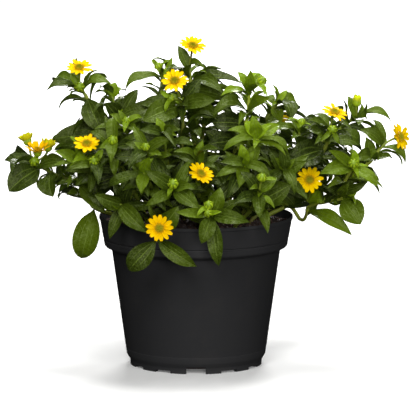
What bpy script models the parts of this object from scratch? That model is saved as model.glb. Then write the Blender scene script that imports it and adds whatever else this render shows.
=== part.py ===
"""Creeping zinnia in a 12 cm nursery pot: closed faceted solids, one named object for each piece.

Run with: blender --background --python part.py
The origin is on the pot's axis, at the level that its feet stand on. +Z is up and -Y is the front.
Lengths are written in millimetres and turned into Blender's metres when a mesh is made.
"""

import math
import random

import bmesh
import bpy
from mathutils import Matrix, Vector
from mathutils.bvhtree import BVHTree

MM = 0.001

# Pot: a standard 12 cm pot, 93 mm high
POT_HEIGHT = 93.0
RIM_RADIUS = 60.0
COLLAR_FOOT_RADIUS = 56.8
BODY_TOP_RADIUS = 52.2
BODY_TOP_LEVEL = 71.8
BODY_FOOT_RADIUS = 43.1
BODY_FOOT_LEVEL = 6.8
FOOT_RADIUS = 41.2
WALL = 1.0
FLOOR_UNDERSIDE = 1.6
FLOOR_TOP = 2.8
FEET = 12
FOOT_ANGLE = 15.0
NOTCH_WIDTH = 11.8
NOTCH_HEIGHT = 4.3
NOTCH_DEPTH = 16.0
TURNED_SIDES = 24

# Soil: it fills the pot and is a little higher in the middle
SOIL_EDGE_LEVEL = 87.6
SOIL_MIDDLE_LEVEL = 91.0
SOIL_GAP = 0.3
ROOT_BOTTOM = 80.0
ROOT_RISE = 1.5
HOLE_CLEARANCE = 0.6

# Stems, leaves, buds and blooms
STEM_SIDES = 3
STEM_RADIUS = 1.45
BRANCH_RADIUS = 1.15
STALK_RADIUS = 0.75
LONG_STEP = 17.0
LEAF_THICKNESS = 1.1
LEAF_FOLD = 0.22
LEAF_STATIONS = ((0.26, 0.74), (0.52, 1.0), (0.79, 0.62))
SMALL_LEAF_STATIONS = ((0.34, 0.96), (0.68, 0.9))
SMALL_LEAF_WIDTH = 9.5
LEAF_CLEARANCE = 0.3
BLOOM_RADIUS = 8.2
BLOOM_PETALS = 10
PETAL_THICKNESS = 0.7
RING_INNER_RADIUS = 2.6
CUP_RADIUS = 2.7
DISC_RADIUS = 2.25
BLOOM_GAP = 0.3
BUD_SIDES = 4

# The front view that the plant's points are given in: 8.3 degrees down on the rim's centre from 2.5 m
LOOK_DOWN = math.radians(8.3)
LOOK_DISTANCE = 2500.0

COLOURS = {
    "pot": ((0.012, 0.012, 0.014), 0.45),
    "soil": ((0.035, 0.018, 0.012), 0.95),
    "leaf": ((0.055, 0.105, 0.022), 0.5),
    "petal": ((0.85, 0.55, 0.01), 0.55),
    "disc": ((0.36, 0.30, 0.02), 0.7),
}

# Each shoot's path and leaves, in front-view millimetres: across, up from the rim's centre, and depth.
# A leaf is its place on the path (1 is the first point), the tip's three measures, its width, how far it
# turns its upper face to the front (0 to 1), and its arch as a share of its length.
# A shoot starts at a root (x, y) in the soil or from a place on another shoot, in the same stem's node.
SHOOTS = {
    "left_high": dict(
        root=(-24, 2),
        path=((-34, 20, 0), (-48, 50, -2), (-63, 66, -5), (-71, 78, -6)),
        leaves=(
            (4.0, -93, 80, -12, 10, 0.35, 0.12),
            (4.0, -90, 85, 12, 8, 0.0, 0.2),
            (3.95, -52, 81, -8, 9, 0.3, 0.35),
            (3.95, -55, 86, 14, 8, 0.0, 0.2),
            (4.0, -74, 97, 10, 7, -0.6, 0.1),
            (3.6, -59, 52, -20, 14, 0.9, 0.15),
            (2.0, -88, 47, 4, 15, 0.6, 0.07),
        ),
        buds=((-72, 79, -14, 3.0),),
    ),
    "left_fork": dict(
        start=("left_high", 2.1),
        path=((-49, 60, -14), (-52, 73, -14)),
        leaves=(
            (2.0, -50, 82, -15, 8, 0.9, 0.08),
            (1.9, -60, 79, -18, 6, 0.2, 0.3),
            (1.9, -43, 78, -10, 6, 0.3, 0.25),
            (1.0, -56, 69, -26, 11, 0.8, 0.1),
            (1.0, -43, 64, -22, 9, 0.6, 0.15),
        ),
    ),
    "left_bud": dict(
        start=("left_high", 1.9),
        path=((-43, 48, -16), (-43, 56, -27)),
        pairs=(1.2,),
        buds=((-43, 58, -30, 2.4),),
    ),
    "far_left": dict(
        root=(-40, -9),
        path=((-59, 9, -12), (-70, 20, -9), (-83, 23, -8), (-99, 31, -9)),
        leaves=(
            (4.0, -119, 34, -10, 9, 0.4, 0.15),
            (4.0, -114, 41, 8, 9, 0.3, 0.25),
            (3.95, -114, 25, -32, 9, 0.5, 0.3),
            (3.95, -80, 33, -24, 10, 0.5, 0.15),
            (3.85, -116, 15, -24, 17, 0.8, 0.12),
            (3.5, -90, 12, -24, 14, 0.6, 0.12),
            (3.0, -82, 25, -34, 9, 0.7, 0.15),
            (2.1, -90, 25, -2, 13, 0.7, 0.1),
        ),
        buds=((-100, 33, -14, 3.2),),
    ),
    "left_rim": dict(
        root=(-43, 4),
        path=((-60, 2.8, -6), (-67, 9.5, -10), (-72, 19, -15), (-72, 29, -22), (-68, 36, -33)),
        leaves=(
            (1.4, -71.5, -29.5, -18, 16.5, 0.95, 0.2),
            (2.2, -80, 12.5, -18, 8, 0.5, 0.15),
            (3.05, -57, 2, -40, 10, 0.8, 0.15),
            (4.2, -87, 40, -34, 8, 0.4, 0.2),
        ),
        pairs=(5.0,),
    ),
    "left_rim_fork": dict(
        start=("left_rim", 3.2),
        path=((-66, 26, -30), (-63, 32, -45)),
        pairs=(1.3, 2.0),
        buds=((-63, 33, -48, 3.0),),
    ),
    "left_middle": dict(
        root=(-30, -14),
        path=((-42, 22, -26), (-50, 38, -37), (-51, 43, -43)),
        leaves=((3.0, -59, 42, -52, 7, 0.6, 0.15), (1.2, -67, 17, -30, 11, 0.8, 0.12)),
        pairs=(1.5, 2.3, 3.0),
        buds=((-51.5, 46, -47, 3.0),),
    ),
    "left_low": dict(
        start=("left_middle", 0.7),
        path=((-42, 8, -42), (-47, 6, -56)),
        leaves=((2.0, -29, -12, -71, 11, 0.8, 0.25), (1.8, -62, 12, -66, 9, 0.6, 0.2)),
        pairs=(1.3,),
    ),
    "top_left": dict(
        root=(-10, 9),
        path=((-16, 30, 7), (-21, 70, 5), (-21, 86, 4)),
        leaves=(
            (3.0, -46, 80, -6, 9, 0.35, 0.17),
            (1.7, -42, 65, -4, 13, 0.7, 0.12),
            (3.0, -26, 98.5, 2, 6, 0.0, 0.42),
            (2.05, -35, 81, 8, 5, 0.0, 0.1),
            (2.1, -5, 70, 12, 9, 0.3, 0.2),
        ),
        pairs=(1.4,),
        buds=((-23.5, 92, -1, 2.4), (-18, 89, -4, 1.9)),
    ),
    "top": dict(
        root=(0, 4),
        path=((-1, 30, 5), (-2, 70, 5), (-4, 88, 4)),
        leaves=(
            (3.0, -11, 105.5, 8, 7, 0.7, 0.05),
            (3.0, 6, 92, -4, 7, 0.4, 0.45),
            (2.95, 8, 89, 13, 6, 0.0, 0.4),
            (2.8, -17.5, 92, -8, 8, 0.3, 0.1),
            (2.7, 28, 82, -6, 11, 0.3, 0.14),
            (2.6, 16, 78, -23, 10, 0.5, 0.2),
            (1.9, 13, 62, -8, 11, 0.8, 0.1),
            (2.4, 22, 71, -4, 10, 0.7, 0.15),
        ),
        pairs=(1.5, 2.1),
    ),
    "top_front": dict(
        root=(-7, -9),
        path=((-9, 25, -15), (-8, 58, -18), (-9, 69, -24)),
        leaves=(
            (2.9, -32, 59, -46, 15, 0.8, 0.12),
            (3.0, -5, 67, -43, 9, 0.8, 0.1),
            (2.8, -35, 68.5, -24, 10, 0.4, 0.15),
            (3.0, 11, 71, -37, 10, 0.8, 0.12),
            (3.0, 3, 84, -26, 9, 0.9, 0.05),
        ),
        pairs=(1.6,),
        buds=((-15.5, 72, -37, 2.0),),
    ),
    "top_right": dict(
        root=(10, 0),
        path=((20, 28, -4), (31, 57, -8), (33, 76, -12)),
        leaves=(
            (3.0, 26, 89, -10, 6, 0.4, 0.1),
            (3.0, 34, 88, -20, 7, 0.9, 0.05),
            (3.0, 45, 85, -6, 9, 0.3, 0.25),
            (2.9, 44, 78, -30, 7, 0.3, 0.3),
            (2.9, 16, 76, -29, 8, 0.3, 0.15),
            (2.3, 44.5, 72.5, -30, 9, 0.7, 0.1),
            (2.3, 9.5, 64.5, -27, 12, 0.35, 0.28),
            (2.0, 10, 57, -16, 13, 0.8, 0.12),
            (1.6, 8, 44, -20, 13, 0.8, 0.1),
            (1.3, 6, 52, -12, 12, 0.7, 0.1),
        ),
        pairs=(1.5,),
        buds=((41, 83, -22, 3.0),),
    ),
    "right_front_high": dict(
        root=(14, -18),
        path=((24, 16, -31), (34, 37, -41), (38, 47, -48)),
        leaves=(
            (3.0, 35.5, 60, -56, 8, 0.95, 0.05),
            (3.0, 31, 58.5, -43, 7, 0.7, 0.1),
            (2.95, 16, 40, -57, 6, 0.0, 0.3),
            (2.95, 59.5, 38.5, -53, 6, 0.0, 0.3),
            (0.8, 9, 34, -34, 12, 0.8, 0.1),
            (3.0, 52, 56, -40, 8, 0.4, 0.15),
        ),
        pairs=(1.5, 2.3),
    ),
    "middle_front_fork": dict(
        start=("right_front_high", 1.5),
        path=((28, 26, -46), (30, 31, -58)),
        leaves=((2.0, 28.5, 43, -63, 7, 0.8, 0.1), (2.0, 27, 17, -72, 8, 0.8, 0.15)),
        pairs=(1.3, 2.0),
    ),
    "right_back_high": dict(
        root=(18, 12),
        path=((32, 40, 14), (44, 60, 14), (50, 69, 12)),
        leaves=(
            (3.0, 59, 58, 0, 12, 0.3, 0.45),
            (3.0, 64, 65, 14, 10, 0.2, 0.4),
            (2.7, 70.5, 58, 20, 7, 0.0, 0.1),
            (2.7, 52, 57, 2, 8, 0.6, 0.1),
            (2.9, 38, 72, 20, 9, 0.2, 0.2),
        ),
        pairs=(1.4, 2.1),
    ),
    "right_middle": dict(
        root=(26, -6),
        path=((46, 24, -13), (62, 40, -15), (64, 51, -16)),
        leaves=(
            (3.0, 46, 53.5, -28, 9, 0.3, 0.15),
            (3.0, 80, 46, -28, 8, 0.2, 0.3),
            (3.0, 78, 59, -4, 11, 0.5, 0.15),
            (1.7, 40, 41, -26, 10, 0.7, 0.1),
            (0.9, 62, 6, -20, 12, 0.8, 0.12),
        ),
        pairs=(1.4, 2.2),
        buds=((65.5, 57.5, -18, 2.4),),
    ),
    "right_inner_fork": dict(
        start=("right_middle", 1.2),
        path=((52, 24, -30), (55, 28, -45)),
        pairs=(1.4, 2.0),
    ),
    "right_high": dict(
        root=(34, -13),
        path=((58, 20, -8), (78, 38, -17), (83, 53, -24)),
        leaves=(
            (3.0, 72.5, 63.5, -14, 6, 0.1, 0.2),
            (2.95, 69.5, 59, -33, 7, 0.2, 0.15),
            (3.0, 95, 57, -38, 6, 0.4, 0.1),
            (2.2, 57.5, 33, -43, 17, 0.8, 0.12),
            (2.5, 103, 42, -14, 16, 0.3, 0.28),
        ),
        buds=((84.5, 52.5, -38, 2.7),),
    ),
    "right_back_tall": dict(
        root=(32, 8),
        path=((60, 30, 8), (86, 50, 8), (99, 61, 6)),
        leaves=(
            (3.0, 94.5, 73.5, 0, 7, 0.7, 0.05),
            (3.0, 106, 68.5, -6, 8, 0.6, 0.1),
            (3.0, 122.5, 60.5, 3, 8, 0.3, 0.17),
            (2.8, 101, 56, -14, 8, 0.6, 0.1),
        ),
        pairs=(1.5, 2.2),
    ),
    "far_right": dict(
        root=(41, 0),
        path=((70, 12, 4), (92, 22, -3), (105, 30, -9), (115, 42, -9)),
        leaves=(
            (4.0, 110, 60, -2, 7, 0.5, 0.2),
            (4.0, 102, 53.5, -18, 10, 0.6, 0.28),
            (4.0, 131.5, 32, -13, 8, 0.4, 0.28),
            (3.4, 99.5, 35.5, -33, 10, 0.5, 0.15),
            (3.2, 106, 48, -28, 9, 0.7, 0.1),
            (2.4, 84, 42, -14, 11, 0.7, 0.1),
        ),
        pairs=(1.6,),
    ),
    "right_low_fork": dict(
        start=("far_right", 1.5),
        path=((88, 13, -24), (93, 22, -31), (97, 29, -36)),
        leaves=(
            (3.0, 112.5, 17.5, -43, 8, 0.5, 0.28),
            (3.0, 76.5, 26, -49, 10, 0.5, 0.22),
            (3.0, 83, 40, -53, 7, 0.7, 0.1),
            (3.0, 98.5, 40, -49, 6, 0.6, 0.1),
        ),
        buds=((97.5, 31.5, -43, 3.0),),
    ),
    "right_rim": dict(
        root=(37, 19),
        path=((56, 6, 20), (64.5, -3, 12), (68, -1, 4), (69.5, 9, -7)),
        leaves=((3.4, 97, -12, -22, 9.6, 0.4, 0.2), (4.0, 80, 9.5, 2, 10, 0.3, 0.3)),
        buds=((72.5, 32, -5, 3.2),),
    ),
    "right_low": dict(
        start=("right_rim", 3.6),
        path=((77, 7.5, -10), (85, 8.5, -14), (91, 10, -18)),
        leaves=(
            (3.0, 102, -6, -28, 15.5, 0.9, 0.1),
            (3.0, 99.5, 8, -35, 5, 0.6, 0.1),
            (3.0, 99, 17.5, -8, 4, 0.2, 0.2),
        ),
    ),
    "front_right": dict(
        root=(24, -33),
        path=((34, 3, -51), (39, 14, -64)),
        leaves=(
            (2.0, 39.5, -1, -82, 8, 0.9, 0.1),
            (2.0, 29, 27, -68, 8, 0.6, 0.1),
            (1.3, 59, 18.5, -62, 15, 0.9, 0.1),
            (0.9, 26, 20, -50, 10, 0.8, 0.1),
            (2.0, 51, 24, -74, 7, 0.6, 0.2),
            (1.1, 46, -9, -76, 8, 0.5, 0.25),
        ),
        pairs=(1.6,),
        buds=((41, 23, -71, 2.8),),
    ),
    "front_middle": dict(
        root=(8, -38),
        path=((9, -3.5, -57), (10, 0, -75)),
        leaves=(
            (2.0, 15.5, 16, -86, 10, 0.9, 0.08),
            (2.0, 4, -17.5, -86, 10, 0.95, 0.12),
            (2.0, 34.5, -4.5, -86, 9, 0.5, 0.28),
            (2.0, -12, 1.5, -84, 6, 0.4, 0.15),
            (1.9, 14, -33, -80, 9.5, 1.0, 0.1),
        ),
        buds=((8, 6, -82, 2.8), (7.5, 1, -84, 2.4)),
    ),
    "front_low": dict(
        root=(-16, -37),
        path=((-21, -5, -57), (-24, -16, -75)),
        leaves=(
            (2.0, -42.5, -35, -77, 14, 0.95, 0.1),
            (2.0, 1, -32.5, -80, 10, 0.8, 0.22),
            (1.6, -11, 4, -78, 12, 0.7, 0.1),
        ),
    ),
    "front_left": dict(
        root=(-15, -24),
        path=((-22, 8, -44), (-32, 26, -68)),
        leaves=(
            (2.0, -28.5, 35.5, -75, 9, 0.8, 0.05),
            (2.0, -56, 17.5, -65, 7, 0.4, 0.22),
            (2.0, -34, 14, -80, 8, 0.8, 0.1),
        ),
        pairs=(1.5,),
    ),
    "front_left_fork": dict(
        start=("front_left", 0.8),
        path=((-17, 12, -56), (-13, 16, -67)),
        leaves=(
            (2.0, 2.5, 3.5, -80, 10, 0.8, 0.12),
            (2.0, -30, 27, -80, 9, 0.8, 0.1),
            (2.0, -4, 34, -67, 6, 0.5, 0.15),
            (2.0, -2, 17.5, -82, 7, 0.6, 0.1),
        ),
        buds=((-14, 19, -74, 3.2),),
    ),
    "middle_front": dict(
        root=(2, -22),
        path=((2, 16, -36), (1, 32, -46)),
        leaves=(
            (2.0, -11, 41, -64, 6, 0.5, 0.12),
            (2.0, 14, 41, -65, 6, 0.3, 0.25),
            (2.0, 4, 46, -56, 7, 0.7, 0.08),
            (0.8, 14, 11, -44, 9, 0.8, 0.1),
        ),
        pairs=(1.4,),
    ),
    "middle_low": dict(
        start=("middle_front", 0.6),
        path=((1, 15, -46),),
    ),
    "left_front_high": dict(
        root=(-14, -13),
        path=((-17, 28, -29), (-20, 50, -48)),
        leaves=(
            (2.0, -34, 53, -60, 7, 0.6, 0.1),
            (2.0, -11, 53.5, -60, 7, 0.6, 0.1),
            (2.0, -24, 60, -50, 6, 0.5, 0.1),
            (1.9, -14, 46, -70, 7, 0.4, 0.2),
        ),
        pairs=(1.3, 1.7),
    ),
    "left_front_fork": dict(
        start=("left_front_high", 1.2),
        path=((-27, 32, -45), (-30, 39, -60)),
        pairs=(1.3, 2.0),
        buds=((-31, 42, -64, 2.4),),
    ),
    "back_left": dict(
        root=(-26, 18),
        path=((-46, 26, 34), (-66, 38, 52), (-74, 44, 60)),
        pairs=(1.1, 1.9, 2.8),
    ),
    "back_left_fork": dict(
        start=("back_left", 1.2),
        path=((-50, 24, 62), (-54, 26, 84)),
        pairs=(0.9, 1.7),
        buds=((-54, 28, 87, 2.8),),
    ),
    "back": dict(
        root=(-11, 27),
        path=((-18, 34, 46), (-26, 48, 66), (-30, 50, 84)),
        pairs=(1.1, 1.9, 2.7),
    ),
    "back_fork": dict(
        start=("back", 1.1),
        path=((-10, 28, 68), (-6, 28, 94)),
        pairs=(1.0, 1.8),
        buds=((-6, 30, 97, 3.0),),
    ),
    "back_high": dict(
        root=(3, 19),
        path=((4, 46, 28), (7, 66, 38), (8, 74, 44)),
        pairs=(1.3, 2.1, 2.9),
        buds=((8, 78, 46, 2.6),),
    ),
    "back_inner_left": dict(
        start=("back_high", 0.6),
        path=((-9, 36, 33), (-18, 50, 40)),
        pairs=(0.9, 2.0),
    ),
    "back_inner_right": dict(
        start=("back_high", 0.8),
        path=((16, 38, 34), (25, 52, 42)),
        pairs=(1.0, 2.0),
    ),
    "back_right": dict(
        root=(16, 30),
        path=((28, 36, 50), (42, 50, 68), (48, 54, 78)),
        pairs=(1.1, 1.9, 2.8),
    ),
    "back_right_fork": dict(
        start=("back_right", 1.1),
        path=((22, 28, 74), (20, 32, 98)),
        pairs=(1.0, 1.8),
        buds=((20, 34, 101, 2.8),),
    ),
    "back_far_right": dict(
        root=(30, 32),
        path=((56, 32, 44), (80, 42, 56), (88, 46, 62)),
        pairs=(1.1, 1.9, 2.8),
    ),
    "back_far_right_fork": dict(
        start=("back_far_right", 1.2),
        path=((64, 24, 72), (68, 26, 88)),
        pairs=(1.0, 1.8),
        buds=((68, 28, 91, 2.8),),
    ),
}

# Each bloom: the shoot that carries it, its kind, the centre in the same measures, and the way it faces
BLOOMS = {
    "bloom_left_high": ("left_high", "open", (-72, 90.5, -9), (0.0, -0.48, 0.88)),
    "bloom_far_left": ("far_left", "old", (-98, 39, -13), (0.0, -0.3, 0.95)),
    "bloom_far_left_young": ("far_left", "half", (-104.5, 46, 0), (-0.3, 0.0, 1.0)),
    "bloom_far_left_small": ("far_left", "half", (-91.5, 42, 4), (0.2, -0.1, 1.0)),
    "bloom_left": ("left_rim", "open", (-67.5, 43.5, -41), (0.0, -0.57, 0.82)),
    "bloom_top": ("top", "open", (-2, 104, -2), (0.12, -0.47, 0.87)),
    "bloom_top_front": ("top_front", "open", (-13, 82.5, -34), (-0.08, -0.72, 0.69)),
    "bloom_middle": ("middle_low", "open", (3, 25, -58), (0.4, -0.6, 0.7)),
    "bloom_front_low": ("front_low", "open", (-22.3, -8.4, -89), (0.0, -0.97, 0.25)),
    "bloom_right_high": ("right_high", "open", (85.7, 63, -29), (0.28, -0.4, 0.87)),
    "bloom_right_young": ("right_back_tall", "half", (99.6, 70, 3), (0.1, 0.0, 1.0)),
    "bloom_far_right": ("far_right", "open", (126, 48, -12), (0.74, -0.58, 0.32)),
    "bloom_right_hidden": ("right_low_fork", "open", (98.5, 25, -20), (0.5, 0.3, 0.8)),
    "bloom_right_low": ("right_rim", "open", (70.5, 21.3, -34), (-0.1, -0.93, 0.35)),
    "bloom_back_left": ("back_left", "open", (-78, 50, 66), (-0.4, 0.5, 0.75)),
    "bloom_back": ("back", "open", (-31, 56, 92), (-0.1, 0.75, 0.65)),
    "bloom_back_right": ("back_right", "open", (51, 60, 86), (0.2, 0.7, 0.7)),
    "bloom_back_far_right": ("back_far_right", "open", (93, 50, 68), (0.6, 0.4, 0.7)),
}


def seen(across, up, depth):
    """The point that the front view shows at these measures, in millimetres from the origin."""
    away = depth * math.cos(LOOK_DOWN) - up * math.sin(LOOK_DOWN)
    grow = 1 + away / LOOK_DISTANCE
    level = (up * grow - depth * math.sin(LOOK_DOWN)) / math.cos(LOOK_DOWN)
    return Vector((across * grow, depth, POT_HEIGHT + level))


def material(name):
    colour, roughness = COLOURS[name]
    made = bpy.data.materials.new(name)
    made.use_nodes = True
    shader = made.node_tree.nodes["Principled BSDF"]
    shader.inputs["Base Color"].default_value = (*colour, 1)
    shader.inputs["Roughness"].default_value = roughness
    return made


def add_object(name, mesh, finish=None, collection=None):
    made = bpy.data.objects.new(name, mesh)
    if finish:
        mesh.materials.append(finish)
    (collection or bpy.context.scene.collection).objects.link(made)
    return made


def solid_mesh(name, points, faces):
    """A mesh of points in millimetres, its faces turned outward."""
    mesh = bpy.data.meshes.new(name)
    mesh.from_pydata([tuple(point * MM) for point in points], [], faces)
    bm = bmesh.new()
    bm.from_mesh(mesh)
    bmesh.ops.recalc_face_normals(bm, faces=bm.faces)
    bm.to_mesh(mesh)
    bm.free()
    return mesh


def turned_mesh(name, profile, sides):
    """A profile of (radius, level) points spun round the upright axis."""
    bm = bmesh.new()
    points = [bm.verts.new((radius * MM, 0, level * MM)) for radius, level in profile]
    edges = [bm.edges.new(pair) for pair in zip(points, points[1:])]
    turn = dict(cent=(0, 0, 0), axis=(0, 0, 1), angle=math.tau, steps=sides)
    bmesh.ops.spin(bm, geom=points + edges, **turn)
    bmesh.ops.remove_doubles(bm, verts=bm.verts, dist=1e-5)
    bmesh.ops.recalc_face_normals(bm, faces=bm.faces)
    mesh = bpy.data.meshes.new(name)
    bm.to_mesh(mesh)
    bm.free()
    return mesh


def combine(target, collection, operation):
    """Joins or cuts an object with a whole collection, keeps the result and removes the collection's objects."""
    modifier = target.modifiers.new("combine", "BOOLEAN")
    modifier.operation = operation
    modifier.operand_type = "COLLECTION"
    modifier.collection = collection
    modifier.solver = "EXACT"
    bpy.context.view_layer.update()
    evaluated = target.evaluated_get(bpy.context.evaluated_depsgraph_get())
    result = bpy.data.meshes.new_from_object(evaluated)
    target.modifiers.clear()
    drop_scraps(result)
    target.data = result
    for tool in list(collection.objects):
        bpy.data.objects.remove(tool)
    bpy.data.collections.remove(collection)


def drop_scraps(mesh):
    """Takes out the few specks that a union can leave, and keeps the one large body."""
    bm = bmesh.new()
    bm.from_mesh(mesh)
    left = set(bm.verts)
    bodies = []
    while left:
        body, reached = set(), [left.pop()]
        while reached:
            corner = reached.pop()
            body.add(corner)
            near = {edge.other_vert(corner) for edge in corner.link_edges} & left
            left -= near
            reached += near
        bodies.append(body)
    largest = max(bodies, key=len)
    scraps = [corner for body in bodies if body is not largest and len(body) < 9 for corner in body]
    bmesh.ops.delete(bm, geom=scraps, context="VERTS")
    bm.to_mesh(mesh)
    bm.free()


def new_collection(name):
    made = bpy.data.collections.new(name)
    bpy.context.scene.collection.children.link(made)
    return made


# Pot


def pot_profile():
    """The pot's wall, from the middle of its underside round the rim to the middle of its floor."""
    outside = (
        (0, FLOOR_UNDERSIDE),
        (FOOT_RADIUS - 4.0, FLOOR_UNDERSIDE),
        (FOOT_RADIUS - 3.8, 0),
        (FOOT_RADIUS - 0.2, 0),
        (FOOT_RADIUS, 3.4),
        (BODY_FOOT_RADIUS, BODY_FOOT_LEVEL),
        (BODY_TOP_RADIUS, BODY_TOP_LEVEL),
        (COLLAR_FOOT_RADIUS - 0.8, BODY_TOP_LEVEL + 2.2),
        (COLLAR_FOOT_RADIUS, BODY_TOP_LEVEL + 3.7),
        (RIM_RADIUS, POT_HEIGHT - 0.7),
        (RIM_RADIUS - 0.3, POT_HEIGHT),
    )
    inside = (
        (RIM_RADIUS - 0.9, POT_HEIGHT),
        (RIM_RADIUS - 0.2 - WALL, POT_HEIGHT - 1),
        (COLLAR_FOOT_RADIUS - 0.2 - WALL, BODY_TOP_LEVEL + 4.2),
        (COLLAR_FOOT_RADIUS - 1.2 - WALL, BODY_TOP_LEVEL + 3.2),
        (BODY_TOP_RADIUS + 0.2 - WALL, BODY_TOP_LEVEL + 1.0),
        (BODY_FOOT_RADIUS - WALL, BODY_FOOT_LEVEL + 0.6),
        (FOOT_RADIUS - 1.6, FLOOR_TOP),
        (0, FLOOR_TOP),
    )
    return outside + inside


def box_cutter(name, angle, inner, outer, width, height, collection):
    bm = bmesh.new()
    bmesh.ops.create_cube(bm, size=1)
    size = Matrix.Diagonal(((outer - inner) * MM, width * MM, 2 * height * MM, 1))
    place = Matrix.Translation(((inner + outer) / 2 * MM, 0, 0))
    bm.transform(Matrix.Rotation(math.radians(angle), 4, "Z") @ place @ size)
    mesh = bpy.data.meshes.new(name)
    bm.to_mesh(mesh)
    bm.free()
    return add_object(name, mesh, collection=collection)


def make_pot():
    pot = add_object("pot", turned_mesh("pot", pot_profile(), TURNED_SIDES), material("pot"))
    cutters = new_collection("pot_cutters")
    gap_width = 2 * FOOT_RADIUS * math.sin(math.radians(FOOT_ANGLE / 2))
    for number in range(FEET):
        angle = number * 360 / FEET
        if number % 3 == 0:
            inner = FOOT_RADIUS - NOTCH_DEPTH
            box_cutter("notch", angle, inner, RIM_RADIUS, NOTCH_WIDTH, NOTCH_HEIGHT, cutters)
        else:
            inner = FOOT_RADIUS - 5
            box_cutter("gap", angle, inner, RIM_RADIUS, gap_width, FLOOR_UNDERSIDE, cutters)
    combine(pot, cutters, "DIFFERENCE")
    return pot


# Soil


def soil_level(radius):
    share = min(radius / (RIM_RADIUS - WALL), 1)
    return SOIL_MIDDLE_LEVEL + (SOIL_EDGE_LEVEL - SOIL_MIDDLE_LEVEL) * share * share


def make_soil(roots):
    edge = RIM_RADIUS - 1.2 - WALL - SOIL_GAP
    profile = (
        (0, FLOOR_TOP + SOIL_GAP),
        (FOOT_RADIUS - 2.0, FLOOR_TOP + SOIL_GAP),
        (BODY_FOOT_RADIUS - WALL - SOIL_GAP - 0.1, BODY_FOOT_LEVEL + 0.7),
        (BODY_TOP_RADIUS - WALL - SOIL_GAP - 0.1, BODY_TOP_LEVEL + 1.2),
        (COLLAR_FOOT_RADIUS - WALL - SOIL_GAP - 0.6, BODY_TOP_LEVEL + 4.4),
        (edge, SOIL_EDGE_LEVEL),
        (edge * 0.5, soil_level(edge * 0.5)),
        (0, SOIL_MIDDLE_LEVEL),
    )
    soil = add_object("soil", turned_mesh("soil", profile, TURNED_SIDES), material("soil"))
    cutters = new_collection("soil_cutters")
    for x, y in roots:
        bm = bmesh.new()
        depth = 20
        middle = ROOT_BOTTOM - SOIL_GAP + depth / 2
        radius = (STEM_RADIUS + HOLE_CLEARANCE) * MM
        size = dict(radius1=radius, radius2=radius, depth=depth * MM)
        place = Matrix.Translation((x * MM, y * MM, middle * MM))
        bmesh.ops.create_cone(bm, cap_ends=True, segments=5, matrix=place, **size)
        mesh = bpy.data.meshes.new("hole")
        bm.to_mesh(mesh)
        bm.free()
        add_object("hole", mesh, collection=cutters)
    combine(soil, cutters, "DIFFERENCE")
    return soil


# Shapes of the plant, as lists of points and faces in millimetres


def frame_along(direction, hint):
    """Two unit vectors across a direction, the second as near the hint as it can be."""
    across = direction.cross(hint)
    if across.length < 1e-4:
        across = direction.orthogonal()
    across.normalize()
    return across, across.cross(direction)


def tube(points, radii, sides=STEM_SIDES):
    """A stem: rings of a few sides along the points, closed at both ends."""
    rings, faces = [], []
    hint = Vector((0, -1, 0.3))
    for index, point in enumerate(points):
        before, after = points[max(index - 1, 0)], points[min(index + 1, len(points) - 1)]
        side, hint = frame_along((after - before).normalized(), hint)
        for step in range(sides):
            angle = math.tau * (step + 0.5) / sides
            rings.append(point + radii[index] * (math.cos(angle) * side + math.sin(angle) * hint))
    for ring in range(len(points) - 1):
        for step in range(sides):
            low = ring * sides + step
            low_next = ring * sides + (step + 1) % sides
            faces.append((low, low_next, low_next + sides, low + sides))
    faces.append(tuple(range(sides)))
    faces.append(tuple(range(len(rings) - sides, len(rings))))
    return rings, faces


def blade(base, tip, width, face, arch, thickness):
    """A leaf: pointed at both ends, folded up along the midrib and arched towards its upper face.

    A small leaf has a flat upper face with a keel below it, and one station less.
    """
    small = width < SMALL_LEAF_WIDTH
    stations = SMALL_LEAF_STATIONS if small else LEAF_STATIONS
    sides = 3 if small else 4
    chord = tip - base
    side, upper = frame_along(chord.normalized(), face)
    bow = (base + tip) / 2 + upper * (2 * arch * chord.length)
    points, faces = [base], []
    for share, part in stations:
        middle = base * (1 - share) ** 2 + bow * (2 * share * (1 - share)) + tip * share**2
        along = ((bow - base) * (1 - share) + (tip - bow) * share).normalized()
        over = side.cross(along).normalized()
        half = width * part / 2
        lift = thickness * 0.35 if small else half * LEAF_FOLD * 2
        points += [middle + over * lift - side * half, middle + over * lift + side * half]
        points.append(middle - over * (thickness * 0.65))
        if not small:
            points.insert(-2, middle + over * (thickness * 0.35))
    points.append(tip)
    last = len(points) - 1
    faces += [(0, 1 + (step + 1) % sides, 1 + step) for step in range(sides)]
    faces += [(last, last - sides + step, last - sides + (step + 1) % sides) for step in range(sides)]
    strips = ((0, 1), (1, 2), (0, 2)) if small else ((0, 1), (2, 1), (2, 3), (0, 3))
    for ring in range(len(stations) - 1):
        low, high = 1 + sides * ring, 1 + sides * (ring + 1)
        for rim, rib in strips:
            faces.append((low + rim, low + rib, high + rib))
            faces.append((low + rim, high + rib, high + rim))
    return points, faces


def spun(profile, sides, place):
    """A small turned shape: (radius, height) points from one end of the axis to the other."""
    points = [place @ Vector((0, 0, profile[0][1]))]
    for radius, height in profile[1:-1]:
        for step in range(sides):
            angle = math.tau * step / sides
            points.append(
                place @ Vector((radius * math.cos(angle), radius * math.sin(angle), height))
            )
    points.append(place @ Vector((0, 0, profile[-1][1])))
    last, faces = len(points) - 1, []
    for step in range(sides):
        after = (step + 1) % sides
        faces.append((0, 1 + after, 1 + step))
        faces.append((last, last - sides + step, last - sides + after))
        for ring in range(len(profile) - 3):
            low = 1 + ring * sides
            faces.append((low + step, low + after, low + after + sides, low + step + sides))
    return points, faces


def facing(centre, axis):
    """The matrix that puts a bloom's or bud's own +Z along an axis at a centre."""
    side, front = frame_along(axis.normalized(), Vector((0, 1, 0)))
    turn = Matrix((side, front, axis.normalized())).transposed()
    return Matrix.Translation(centre) @ turn.to_4x4()


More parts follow.
